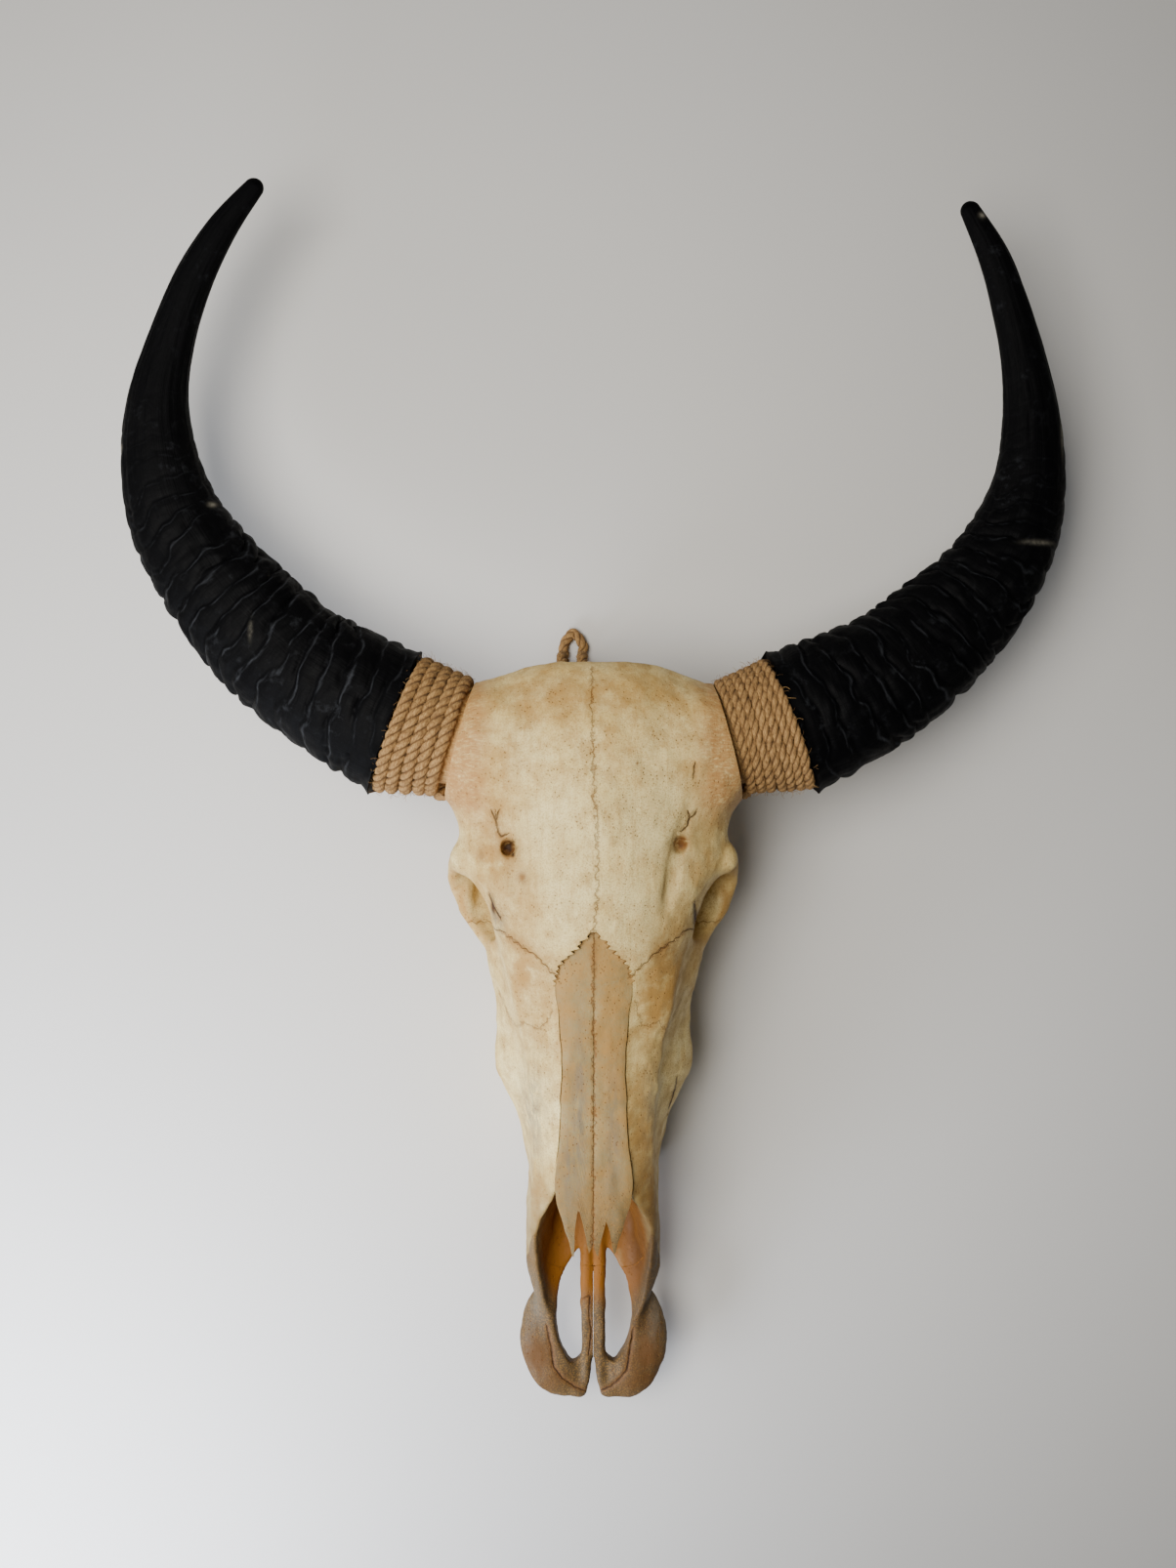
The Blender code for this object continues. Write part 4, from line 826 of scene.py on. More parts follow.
def add_muzzle(clay):
    """The open nose, the spoon-ended bodies of the premaxillae and the two bars along the midline."""
    clay.cut(nasal_cavity(), 0.004)
    clay.add(ellipsoid((0.0330, -0.4060, 0.0490), (0.0225, 0.040, 0.0088)), 0.006)
    clay.add(ellipsoid((0.0225, -0.4340, 0.0470), (0.0190, 0.019, 0.0068)), 0.008)
    clay.add(ellipsoid((0.0105, -0.4440, 0.0465), (0.0085, 0.0095, 0.0056)), 0.004)
    clay.cut(palatine_fissure(), 0.002)
    clay.add(bar([(0.0052, -0.438, 0.0485), (0.0050, -0.38, 0.0520), (0.0046, -0.27, 0.0560)],
                 [0.0046, 0.0040, 0.0040], (1, 1, 1.3)), 0.003)
    clay.cut(bar([(0, -0.470, 0.048), (0, -0.448, 0.048), (0, -0.424, 0.049)], [0.0050, 0.0036, 0.0006],
                 (1, 1, 8)), 0.001)


def bone_points_and_quads():
    """The skull's bone without teeth, nasal bones and the ends of the horn cores, as (points, quads)."""
    clay = Clay((0, MUZZLE_Y - 0.012, -0.012), (0.165, 0.112, 0.228), GRID_STEP)
    clay.add(cranial_roof())
    clay.add(ellipsoid((0, 0.022, 0.122), (0.060, 0.070, 0.062)), 0.012)
    clay.add(face(), 0.020)
    add_base(clay)
    clay.cut(ellipsoid((0.094, 0.000, 0.117), (0.034, 0.043, 0.028)), 0.008)
    add_eye_region(clay)
    add_core_roots(clay)
    add_palate(clay)
    add_muzzle(clay)
    clay.soften()
    return clay.surface()


class Ripples:
    """Smooth random values in space, between about -1 and 1, that repeat every 24 cells."""

    def __init__(self, seed, cells=24):
        self.cells = cells
        self.table = np.random.default_rng(seed).uniform(-1, 1, (cells,) * 3).astype(np.float32)

    def __call__(self, points, size, stretch=(1, 1, 1)):
        """The values at points, with bumps of a size in metres, stretched along each axis."""
        place = np.asarray(points) / (np.array(stretch) * size)
        floor = np.floor(place).astype(int)
        share = place - floor
        share = share * share * (3 - 2 * share)
        total = 0
        for corner in ((i, j, k) for i in (0, 1) for j in (0, 1) for k in (0, 1)):
            weight = np.prod(np.where(np.array(corner) == 1, share, 1 - share), axis=1)
            index = (floor + corner) % self.cells
            total = total + weight * self.table[tuple(index.T)]
        return total * 1.6


ripples = Ripples(7)


def mesh_arrays(mesh):
    """(points, normals) of a mesh's vertices."""
    points = np.empty(len(mesh.vertices) * 3, np.float32)
    normals = np.empty(len(mesh.vertices) * 3, np.float32)
    mesh.vertices.foreach_get("co", points)
    mesh.vertices.foreach_get("normal", normals)
    return points.reshape(-1, 3), normals.reshape(-1, 3)


def move_along_normals(mesh, distance_at):
    """Moves each vertex along its normal by distance_at(points, normals)."""
    points, normals = mesh_arrays(mesh)
    moved = points + normals * distance_at(points, normals)[:, None]
    mesh.vertices.foreach_set("co", moved.astype(np.float32).ravel())
    mesh.update()


def plain_mesh(name, points, faces):
    """A mesh from points and faces of equal corner counts."""
    points, faces = np.asarray(points, np.float32), np.asarray(faces, np.int32)
    mesh = bpy.data.meshes.new(name)
    mesh.vertices.add(len(points))
    mesh.vertices.foreach_set("co", points.ravel())
    mesh.loops.add(faces.size)
    mesh.loops.foreach_set("vertex_index", faces.ravel())
    mesh.polygons.add(len(faces))
    mesh.polygons.foreach_set("loop_start", np.arange(0, faces.size, faces.shape[1], dtype=np.int32))
    mesh.update(calc_edges=True)
    return mesh


def tube_faces(rows, columns):
    """Quads between neighbouring rows of a closed ring of columns."""
    r, c = np.meshgrid(np.arange(rows - 1), np.arange(columns), indexing="ij")
    here, beside = r * columns + c, r * columns + (c + 1) % columns
    return np.stack([here, beside, beside + columns, here + columns], -1).reshape(-1, 4)


def loft(name, rings, forked=False):
    """A closed mesh through rings of equal point counts, facing out.

    A forked one is closed at its ends by strips from its upper side to its under side.
    """
    rings = np.asarray(rings, np.float32)
    rows, columns = rings.shape[:2]
    form = bmesh.new()
    form.from_mesh(plain_mesh(name, rings.reshape(-1, 3), tube_faces(rows, columns)))
    form.verts.ensure_lookup_table()
    for end in (form.verts[:columns], form.verts[-columns:]):
        if forked:
            for k in range(columns // 2 - 1):
                form.faces.new((end[k], end[k + 1], end[columns - 2 - k], end[columns - 1 - k]))
        else:
            form.faces.new(end)
    bmesh.ops.recalc_face_normals(form, faces=form.faces)
    mesh = bpy.data.meshes.new(name)
    form.to_mesh(mesh)
    form.free()
    return mesh


def side_block(name, outline, low_x, high_x):
    """A closed block of a (y, z) outline between two places across the skull."""
    return loft(name, [[(x, y, z) for y, z in outline] for x in (low_x, high_x)])


def upright_block(name, outline):
    """A closed block of an (x, y) outline, taller than the skull."""
    return loft(name, [[(x, y, z) for x, y in outline] for z in (0, BLOCK_HEIGHT)])


def boolean(target, operation, other):
    """Joins, cuts or limits an object by another, once its modifiers are baked."""
    modifier = target.modifiers.new(f"{operation.lower()}_{other.name}", "BOOLEAN")
    modifier.operation = operation
    modifier.object = other
    modifier.solver = "MANIFOLD"


def baked(target):
    """Turns an object's modifiers into its plain mesh."""
    graph = bpy.context.evaluated_depsgraph_get()
    mesh = bpy.data.meshes.new_from_object(target.evaluated_get(graph))
    target.modifiers.clear()
    target.data = mesh
    return target


HELPERS = []


def helper(name, mesh):
    """A shape that only cuts or fills others, taken away at the end."""
    made = new_object(name, mesh)
    HELPERS.append(made)
    return made


def zigzag(route, step, depth, seed):
    """An (x, y) route with small teeth to its sides, like an interlocking seam of bone."""
    draw = np.random.default_rng(seed)
    points = []
    for a, b in zip(route, route[1:]):
        a, b = np.array(a), np.array(b)
        count = max(1, int(np.linalg.norm(b - a) / step))
        side = np.array([a[1] - b[1], b[0] - a[0]]) / max(np.linalg.norm(b - a), 1e-9)
        for n in range(count):
            sway = depth * (1 if n % 2 else -1) * draw.uniform(0.3, 1.0) if n else 0
            points.append(tuple(a + (b - a) * (n + draw.uniform(-0.2, 0.2) * (n > 0)) / count + side * sway))
    return [*points, tuple(route[-1])]


# The toothed joint between the forehead and the face, from the left edge to the right one
FRONTAL_LINE = [(-x, y) for x, y in FRONTAL_SEAM[:0:-1]] + list(FRONTAL_SEAM)
FRONTAL_JOINT = zigzag(FRONTAL_LINE, 0.0030, 0.0014, 5)


def relief(points, normals):
    """How far the bone's real surface stands off the smooth form: gentle lumps, then pits and grooves."""
    lift = ripples(points, 0.027) * 0.00060 + ripples(points, 0.012) * 0.00038
    lift += ripples(points, 0.0055) * 0.00018 + ripples(points, 0.0031) * 0.00010
    for centre, radius, depth in DENTS:
        gap = np.linalg.norm((points - np.array(centre)) / radius, axis=1)
        lift -= depth * np.clip(1 - gap, 0, 1) ** 0.6
    plain = line_gaps(points, GROOVES)[1]
    lift -= GROOVE_DEPTH * np.clip(1 - plain / GROOVE_WIDTH, 0, 1) * (normals[:, 2] > 0)
    return lift


def core_place(share):
    """(centre, radius, turn) of the horn core at a share of the way under the binding."""
    centre = BINDING_START.lerp(BINDING_END, share)
    radius = CORE_START_RADIUS + (CORE_END_RADIUS - CORE_START_RADIUS) * share
    return centre, radius, BINDING_START_TURN + (BINDING_END_TURN - BINDING_START_TURN) * share


def on_core(share, angle, off, sign):
    """A point that stands off the horn core's surface, at an angle round it."""
    centre, radius, turn = core_place(share)
    across = Vector((-math.sin(turn), math.cos(turn), 0))
    point = centre + across * ((radius + off) * math.cos(angle))
    point.z += (radius * CORE_FLATNESS + off) * math.sin(angle)
    return Vector((point.x * sign, point.y, point.z))


def core_end(side, sign):
    """The end of a horn core, under the rope, which is joined to the cranium."""
    root = (CORE_START - BINDING_START).length / (BINDING_END - BINDING_START).length
    rings = [[on_core(share, math.tau * n / CORE_COLUMNS, off, sign) for n in range(CORE_COLUMNS)]
             for share, off in ((-root, 0.004), (0, 0), (0.5, 0), (0.994, 0))]
    return helper(f"core_end_{side}", loft(f"core_end_{side}", rings))


def beyond_binding(side, sign):
    """A block over everything outward of the binding's inner face."""
    out = Vector((math.cos(BINDING_START_TURN), math.sin(BINDING_START_TURN), 0))
    rings = []
    for along in (0, 0.12):
        ring = [BINDING_START + out * along + Vector((-out.y, out.x, 0)) * across + Vector((0, 0, up))
                for across, up in ((-0.09, -0.09), (0.09, -0.09), (0.09, 0.09), (-0.09, 0.09))]
        rings.append([(point.x * sign, point.y, point.z) for point in ring])
    return helper(f"beyond_binding_{side}", loft(f"beyond_binding_{side}", rings))


def loop_holes():
    """The two drilled holes that the hanging loop goes into."""
    made = []
    height = LOOP_LEG[0][1]
    turns = [math.tau * k / HOLE_COLUMNS for k in range(HOLE_COLUMNS)]
    for n, x in enumerate(LOOP_LEG_X):
        rim = [(x + HOLE_RADIUS * math.cos(turn), height + HOLE_RADIUS * math.sin(turn)) for turn in turns]
        rings = [[(a, y, b) for a, b in rim] for y in (HOLE_FLOOR_Y, HOLE_FLOOR_Y + HOLE_CUT_LENGTH)]
        made.append(helper(f"loop_hole_{n}", loft(f"loop_hole_{n}", rings)))
    return made


def nasal_places(end):
    """Places along a nasal bone, close together where its rear edge interlocks with the forehead."""
    toothed = np.linspace(NASAL_REAR_Y, NASAL_TOOTHED_TO_Y, 76)[:-1]
    return np.concatenate([toothed, np.linspace(NASAL_TOOTHED_TO_Y, end, 130)])


def nasal_half(y):
    """The nasal bones' half width, wandering a little, with interlocking teeth along the slanting rear."""
    half = nasal_width(np.asarray(y, np.float32)).astype(float)
    teeth_share = np.clip((y + 0.127) / 0.006, 0, 1) * np.clip((-0.0885 - y) / 0.003, 0, 1)
    sway = np.abs(((y / SEAM_TOOTH) % 1) - 0.5) * 4 - 1
    jitter = ripples(np.stack([y * 0, y, y * 0], 1), 0.0021)
    wander = ripples(np.stack([y * 0 + 0.03, y, y * 0], 1), 0.009)
    return half + teeth_share * SEAM_TOOTH_DEPTH * (0.75 * sway + 0.5 * jitter) + SEAM_WOBBLE * wander


def nasal_bed():
    """The bed that both nasal bones lie in, cut from the bones round them."""
    rings = []
    stations = nasal_places(NASAL_FRONT_Y - GAP)
    for y, half in zip(stations, nasal_half(stations) + GAP):
        level = float(nasal_top(np.float32(y)))
        bend = float(crown(np.float32(y)))
        over = [(x, y, level - bend * x * x + BED_CLEARANCE) for x in np.linspace(-half, half, 17)]
        rings.append(over + [(x, y, z - BED_CLEARANCE - NASAL_THICKNESS - GAP) for x, y, z in reversed(over)])
    return helper("nasal_bed", loft("nasal_bed", rings))


def nasal_bone(side, sign):
    """One nasal bone: a long thin arched plate from the forehead's seam to its own forked tip."""
    places, ends = zip(*NASAL_TIPS[side])
    full = nasal_places(NASAL_FRONT_Y)
    rows = len(full)
    over = np.empty((rows, NASAL_COLUMNS + 1, 3))
    for k in range(NASAL_COLUMNS + 1):
        v = k / NASAL_COLUMNS
        end = np.interp(v, places, ends)
        y = NASAL_REAR_Y + (full - NASAL_REAR_Y) * (end - NASAL_REAR_Y) / (NASAL_FRONT_Y - NASAL_REAR_Y)
        y = np.where(full > NASAL_TOOTHED_TO_Y, full, y)
        open_share = np.clip((-0.140 - y) / 0.02, 0, 1)
        half = nasal_half(y) - SIDE_CRACK * open_share
        x = GAP / 2 + (half - GAP / 2) * v
        z = [float(nasal_top(np.float32(t))) - float(crown(np.float32(t))) * a * a for t, a in zip(y, x)]
        over[:, k] = np.stack([x, y, z], 1)
    over[..., 0] *= sign
    flat = over.reshape(-1, 3)
    over[..., 2] += relief(flat, np.tile((0.0, 0.0, 1.0), (len(flat), 1))).reshape(rows, -1)
    over[..., 2] += ripples(flat, 0.006, (1, 5, 1)).reshape(rows, -1) * 0.00018
    edge = np.abs(np.linspace(-1, 1, NASAL_COLUMNS + 1)) ** 8
    over[..., 2] -= 0.0005 * edge * np.clip((-0.130 - over[..., 1]) / 0.02, 0, 1)
    under = over[:, ::-1].copy()
    under[..., 2] -= NASAL_THICKNESS * (1 - 0.55 * np.linspace(0, 1, rows)[:, None] ** 3)
    return new_object(f"nasal_{side}", loft(f"nasal_{side}", np.concatenate([over, under], 1), forked=True))


def tooth(middle, half_length, half_width, sign):
    """One cheek tooth: a tall column with two lobes towards the cheek, worn to a rough table."""
    angles = np.arange(TOOTH_COLUMNS) * math.tau / TOOTH_COLUMNS
    out = np.abs(np.cos(angles)) ** 0.55 * np.sign(np.cos(angles)) * half_length
    side = np.abs(np.sin(angles)) ** 0.55 * np.sign(np.sin(angles)) * half_width
    fold = 0.16 * np.exp(-((out / half_length) / 0.16) ** 2) * half_width
    side = side - np.sign(side) * fold * (1 + 0.7 * np.sign(side))
    rings = []
    for z, scale in TOOTH_STEPS:
        x = sign * (middle[0] + side * scale)
        y = middle[1] + out * min(scale + 0.02, 1)
        rings.append(np.stack([x, y, 0 * out + z], 1))
    return rings


def teeth(side, sign):
    """The six cheek teeth of one side, as one piece."""
    row_x = curve(TOOTH_ROW_X)
    form = bmesh.new()
    y = TOOTH_ROW_START
    for length, width in zip(TOOTH_LENGTHS, TOOTH_WIDTHS):
        middle = (float(row_x(np.float32(y + length / 2))), y + length / 2)
        form.from_mesh(loft("tooth", tooth(middle, (length - TOOTH_SPACE) / 2, width / 2, sign)))
        y += length
    mesh = bpy.data.meshes.new(f"teeth_{side}")
    form.to_mesh(mesh)
    form.free()
    return new_object(f"teeth_{side}", mesh)


def node(tree, kind, inputs=None, **settings):
    """Adds a node with its settings and links.

    An input takes a value, an output, or a node, which gives its first output in use.
    """
    made = tree.nodes.new(kind)
    for name, value in settings.items():
        setattr(made, name, value)
    for key, value in (inputs or {}).items():
        if isinstance(value, bpy.types.Node):
            value = next(out for out in value.outputs if out.enabled)
        if isinstance(value, bpy.types.NodeSocket):
            tree.links.new(value, made.inputs[key])
        else:
            made.inputs[key].default_value = value
    return made


def new_tree(name, sockets):
    """An empty shape tree with one named input for each of its sizes."""
    tree = bpy.data.node_groups.new(name, "GeometryNodeTree")
    for label, kind in sockets:
        tree.interface.new_socket(label, in_out="INPUT", socket_type=f"NodeSocket{kind}")
    tree.interface.new_socket("Shape", in_out="OUTPUT", socket_type="NodeSocketGeometry")
    return tree


def laid_rope_tree():
    """Three strands laid round a path, a little uneven, with loose fibres standing off them."""
    tree = new_tree("laid_rope", (("Path", "Geometry"), ("Radius", "Float"), ("Strand Pitch", "Float"),
                                  ("Groove Depth", "Float"), ("Fibres Per Square Metre", "Float"),
                                  ("Fibre Length", "Float"), ("Seed", "Int"), ("Finish", "Material")))
    given = node(tree, "NodeGroupInput").outputs
    length = node(tree, "GeometryNodeSplineParameter").outputs["Length"]
    turns = node(tree, MATH, {0: length, 1: given["Strand Pitch"]}, operation="DIVIDE")
    turn = node(tree, MATH, {0: turns, 1: math.tau}, operation="MULTIPLY")
    twisted = node(tree, "GeometryNodeSetCurveTilt", {"Curve": given["Path"], "Tilt": turn})
    along = node(tree, "GeometryNodeCaptureAttribute", {"Geometry": twisted})
    for label, value in (("along", length), ("turn", turn.outputs[0])):
        along.capture_items.new("FLOAT", label)
        tree.links.new(value, along.inputs[label])

    # The outline across the rope: a circle, drawn in between the strands
    ring = node(tree, "GeometryNodeCurvePrimitiveCircle", {"Resolution": ROPE_COLUMNS, "Radius": 1.0},
                mode="RADIUS")
    place = node(tree, "GeometryNodeInputPosition")
    flat = node(tree, "ShaderNodeSeparateXYZ", {0: place}).outputs
    angle = node(tree, MATH, {0: flat["Y"], 1: flat["X"]}, operation="ARCTAN2")
    strand = node(tree, MATH, {0: angle, 1: STRANDS / 2}, operation="MULTIPLY")
    wave = node(tree, MATH, {0: node(tree, MATH, {0: strand}, operation="COSINE")}, operation="ABSOLUTE")
    lobe = node(tree, MATH, {0: wave, 1: 0.75}, operation="POWER")
    sunk = node(tree, MATH, {0: 1.0, 1: lobe}, operation="SUBTRACT")
    hollow = node(tree, MATH, {0: sunk, 1: given["Groove Depth"]}, operation="MULTIPLY")
    share = node(tree, MATH, {0: 1.0, 1: hollow}, operation="SUBTRACT")
    reach = node(tree, MATH, {0: share, 1: given["Radius"]}, operation="MULTIPLY")
    shaped = node(tree, "ShaderNodeVectorMath", {0: place, "Scale": reach}, operation="SCALE")
    outline = node(tree, "GeometryNodeSetPosition", {"Geometry": ring, "Position": shaped})
    around = node(tree, "GeometryNodeCaptureAttribute", {"Geometry": outline})
    for label, value in (("angle", angle), ("lobe", lobe)):
        around.capture_items.new("FLOAT", label)
        tree.links.new(value.outputs[0], around.inputs[label])
    tube = node(tree, "GeometryNodeCurveToMesh", {"Curve": along, "Profile Curve": around, "Fill Caps": True})

    # Small bulges, since no strand is even
    bulges = node(tree, NOISE, {"Scale": 1 / ROPE_BULGE_SPACING, "Detail": 3.0, "Roughness": 0.6})
    off = node(tree, RANGE, {0: bulges, 1: 0.3, 2: 0.7, 3: -ROPE_BULGE, 4: ROPE_BULGE})
    facing = node(tree, "GeometryNodeInputNormal")
    moved = node(tree, "ShaderNodeVectorMath", {0: facing, "Scale": off}, operation="SCALE")
    uneven = node(tree, "GeometryNodeSetPosition", {"Geometry": tube, "Offset": moved})
    smooth = node(tree, "GeometryNodeSetShadeSmooth", {"Geometry": uneven})

    # A place for the fibres' pattern, which runs along the strands
    spun = node(tree, MATH, {0: around.outputs["angle"], 1: along.outputs["turn"]})
    across = node(tree, MATH, {0: spun}, operation="COSINE")
    aside = node(tree, MATH, {0: spun}, operation="SINE")
    fibre = node(tree, "ShaderNodeCombineXYZ", {"X": across, "Y": aside, "Z": along.outputs["along"]})
    stored = (("fibre_place", "FLOAT_VECTOR", fibre), ("strand_height", "FLOAT", around.outputs["lobe"]))
    for label, kind, value in stored:
        smooth = node(tree, "GeometryNodeStoreNamedAttribute",
                      {"Geometry": smooth, "Name": label, "Value": value}, data_type=kind, domain="POINT")

    # Loose fibres stand off the rope and bend over
    spots = node(tree, "GeometryNodeDistributePointsOnFaces",
                 {"Mesh": smooth, "Density": given["Fibres Per Square Metre"], "Seed": given["Seed"]})
    hair = node(tree, "GeometryNodeCurvePrimitiveBezierSegment",
                {"Resolution": 5, "Start": FIBRE_CURVE[0], "Start Handle": FIBRE_CURVE[1],
                 "End Handle": FIBRE_CURVE[2], "End": FIBRE_CURVE[3]})
    thread = node(tree, "GeometryNodeCurvePrimitiveCircle", {"Resolution": 3, "Radius": FIBRE_RADIUS},
                  mode="RADIUS")
    hair = node(tree, "GeometryNodeCurveToMesh", {"Curve": hair, "Profile Curve": thread, "Fill Caps": True})
    spin = node(tree, "FunctionNodeRandomValue",
                {"Max": (0.7, 0.7, math.tau), "Min": (-0.7, -0.7, 0), "Seed": given["Seed"]},
                data_type="FLOAT_VECTOR")
    turned = node(tree, "FunctionNodeRotateRotation", {0: spots.outputs["Rotation"], 1: spin},
                  rotation_space="LOCAL")
    size = node(tree, "FunctionNodeRandomValue", {2: 0.35, 3: 1.0, "Seed": given["Seed"]}, data_type="FLOAT")
    scale = node(tree, MATH, {0: given["Fibre Length"], 1: FIBRE_CURVE_REACH}, operation="DIVIDE")
    grown = node(tree, MATH, {0: size, 1: scale}, operation="MULTIPLY")
    hairs = node(tree, "GeometryNodeInstanceOnPoints", {"Points": spots.outputs["Points"], "Instance": hair,
                                                        "Rotation": turned, "Scale": grown})
    joined = node(tree, "GeometryNodeJoinGeometry")
    tree.links.new(hairs.outputs[0], joined.inputs[0])
    tree.links.new(smooth.outputs[0], joined.inputs[0])
    real = node(tree, "GeometryNodeRealizeInstances", {0: joined})
    done = node(tree, "GeometryNodeSetMaterial", {"Geometry": real, "Material": given["Finish"]})
    node(tree, "NodeGroupOutput", {0: done})
    return tree


def laid_rope(name, route, values, tree):
    """A rope along a route of points, as a plain mesh made by the rope tree."""
    path = bpy.data.curves.new(name, "CURVE")
    path.dimensions = "3D"
    spline = path.splines.new("POLY")
    spline.points.add(len(route) - 1)
    spline.points.foreach_set("co", np.concatenate([np.asarray(route), np.ones((len(route), 1))], 1).ravel())
    guide = new_object(f"{name}_path", path)
    modifier = guide.modifiers.new("laid_rope", "NODES")
    modifier.node_group = tree
    sockets = {item.name: item.identifier for item in tree.interface.items_tree if item.in_out == "INPUT"}
    for label, value in values.items():
        modifier[sockets[label]] = value
    graph = bpy.context.evaluated_depsgraph_get()
    mesh = bpy.data.meshes.new_from_object(guide.evaluated_get(graph))
    bpy.data.objects.remove(guide)
    mesh.name = name
    return new_object(name, mesh)


def binding_route(side, sign):
    """The rope's line round a horn core: an uneven turn beside turn, from a tail at the lower inner end."""
    turns = BINDING_TURNS[side]
    length = (BINDING_END - BINDING_START).length
    half = ROPE_RADII[side]
    start, end = half / length, 1 - half / length
    wound = turns - 1 + BINDING_OVERLAP
    way = np.linspace(0, 1, turns * ROPE_POINTS_PER_TURN + 1)
    angles = BINDING_FIRST_ANGLE + way * wound * math.tau
    steady = np.clip((way * wound - 0.15) / (wound - 0.3), 0, 1)
    round_core = np.stack([np.cos(angles), np.sin(angles), way * wound * 2 + sign], 1)
    loose = ripples(round_core, 0.7) * (1 - way) * way * 4
    route = [on_core(start + (end - start) * share + sway * TURN_SWAY, angle, half, sign)
             for share, angle, sway in zip(steady, angles, loose)]
    tail = [on_core(start, BINDING_FIRST_ANGLE - TAIL_TURN * t, half + TAIL_RISE * t * t, sign)
            for t in np.linspace(1, 0, TAIL_POINTS, endpoint=False)]
    return tail + route


def loop_route():
    """The hanging loop's line, from one drill hole down to the floor, round, and back into the other hole."""
    left, right = LOOP_LEG_X
    route = [Vector((left, y, z)) for y, z in LOOP_LEG]
    route.append(Vector(((left + right) / 2, LOOP_TOP_Y, LOOP_LEG[-1][1])))
    route += [Vector((right, y, z)) for y, z in reversed(LOOP_LEG)]
    return [route_point(route, (len(route) - 1) * n / LOOP_STEPS) for n in range(LOOP_STEPS + 1)]


def horn_relief(u, angle, side):
    """(lift, phase): how far the sheath stands off its smooth taper, and its place in the growth folds.

    The folds are rounded, with sharp valleys, and die out towards the tip.
    """
    way = np.stack([np.cos(angle) * HORN_WRAP, np.sin(angle) * HORN_WRAP, u], 1)
    sway = ripples(way, 0.030) * 0.0060 + ripples(way, 0.011) * 0.0022
    slant = FOLD_SLANT * np.cos(angle - FOLD_LEAN[side]) * np.clip(u / 0.06, 0, 1)
    phase = (u + sway + slant) / FOLD_SPACING + FOLD_SHIFT[side]
    strength = np.interp(u, *zip(*FOLD_STRENGTH)) * (1 + 0.55 * ripples(way, 0.022))
    crease = np.abs(np.sin(math.pi * phase)) ** 0.55
    second = np.abs(np.sin(math.pi * (phase * 2.3 + ripples(way, 0.02)))) ** 0.8
    lift = strength * (crease - 0.72) + strength * 0.16 * (second - 0.6)
    return lift, phase


def horn_sheath(side, sign):
    """The black horn sheath: a flattened, folded taper along its sweep, with a torn lip and a blunt tip."""
    length = (BINDING_END - BINDING_START).length
    base = BINDING_START.lerp(BINDING_END, 1 + GAP / length)
    base = Vector((base.x * sign, base.y, base.z))
    route = [base] + [Vector(point) for point in HORN_ROUTES[side]]
    width_at = curve(tuple(enumerate(HORN_WIDTHS[side])))
    start = Vector((math.cos(BINDING_END_TURN) * sign, math.sin(BINDING_END_TURN), 0))
    angles = np.arange(HORN_COLUMNS) * math.tau / HORN_COLUMNS
    last_place = len(route) - 1
    places = last_place * (1 - (1 - np.linspace(0, 1, HORN_ROWS)) ** HORN_ROW_SPREAD)
    points = [route_point(route, place) for place in places]
    steps = [0.0] + [(b - a).length for a, b in zip(points, points[1:])]
    ways = np.cumsum(steps)
    rings, phases = [], []
    for place, point, way in zip(places, points, ways):
        ahead = route_point(route, min(place + 0.05, last_place)) - route_point(route, max(place - 0.05, 0))
        tangent = start.lerp(ahead.normalized(), min(1, place / 1.5)).normalized()
        across = Vector((0, 0, 1)).cross(tangent).normalized()
        up = tangent.cross(across)
        half = float(width_at(np.float32(place))) / 2
        left_over = np.clip((ways[-1] - way) / TIP_ROUNDING, 0.002, 1)
        half *= math.sqrt(1 - (1 - left_over) ** 2)
        lift, phase = horn_relief(np.full(HORN_COLUMNS, way), angles, side)
        round_horn = np.stack([np.cos(angles) * 0.05, np.sin(angles) * 0.05, angles * 0 + way], 1)
        grain = ripples(round_horn, 0.006, (1, 1, 5)) * 0.00035
        lip = LIP_FLARE * max(0, 1 - way / LIP_LENGTH) ** 2
        off = (lift + grain) * min(1, half / 0.02) + lip
        reach = 1 + off / max(half, 0.001) * min(1, half / 0.004)
        ring = (np.array(point) + np.outer(np.cos(angles) * reach * half, across)
                + np.outer(np.sin(angles) * reach * half * HORN_FLATNESS, up))
        if way < LIP_LENGTH:
            torn = ripples(np.stack([np.cos(angles) * 0.045, np.sin(angles) * 0.045, 0 * angles], 1), 0.009)
            torn = np.clip(torn * LIP_DEPTH, -0.0005, LIP_DEPTH)
            ring -= np.outer(torn * (1 - way / LIP_LENGTH), tangent)
        rings.append(ring)
        phases.append(phase)
    made = new_object(f"horn_sheath_{side}", loft(f"horn_{side}", rings))
    way = np.repeat(ways, HORN_COLUMNS)
    angle = np.tile(angles, HORN_ROWS)
    put(made.data, "phase", np.concatenate(phases))
    put(made.data, "folded", np.interp(way, *zip(*FOLD_STRENGTH)) / FOLD_STRENGTH[1][1])
    put(made.data, "grain_place", np.stack([np.cos(angle) * HORN_WRAP, np.sin(angle) * HORN_WRAP, way], 1))
    put(made.data, "chipped", near(mesh_arrays(made.data)[0], HORN_CHIPS))
    return made


def put(mesh, name, values):
    """Stores one number or one vector for each vertex."""
    values = np.asarray(values, np.float32)
    vector = values.ndim == 2
    made = mesh.attributes.new(name, "FLOAT_VECTOR" if vector else "FLOAT", "POINT")
    made.data.foreach_set("vector" if vector else "value", values.ravel())


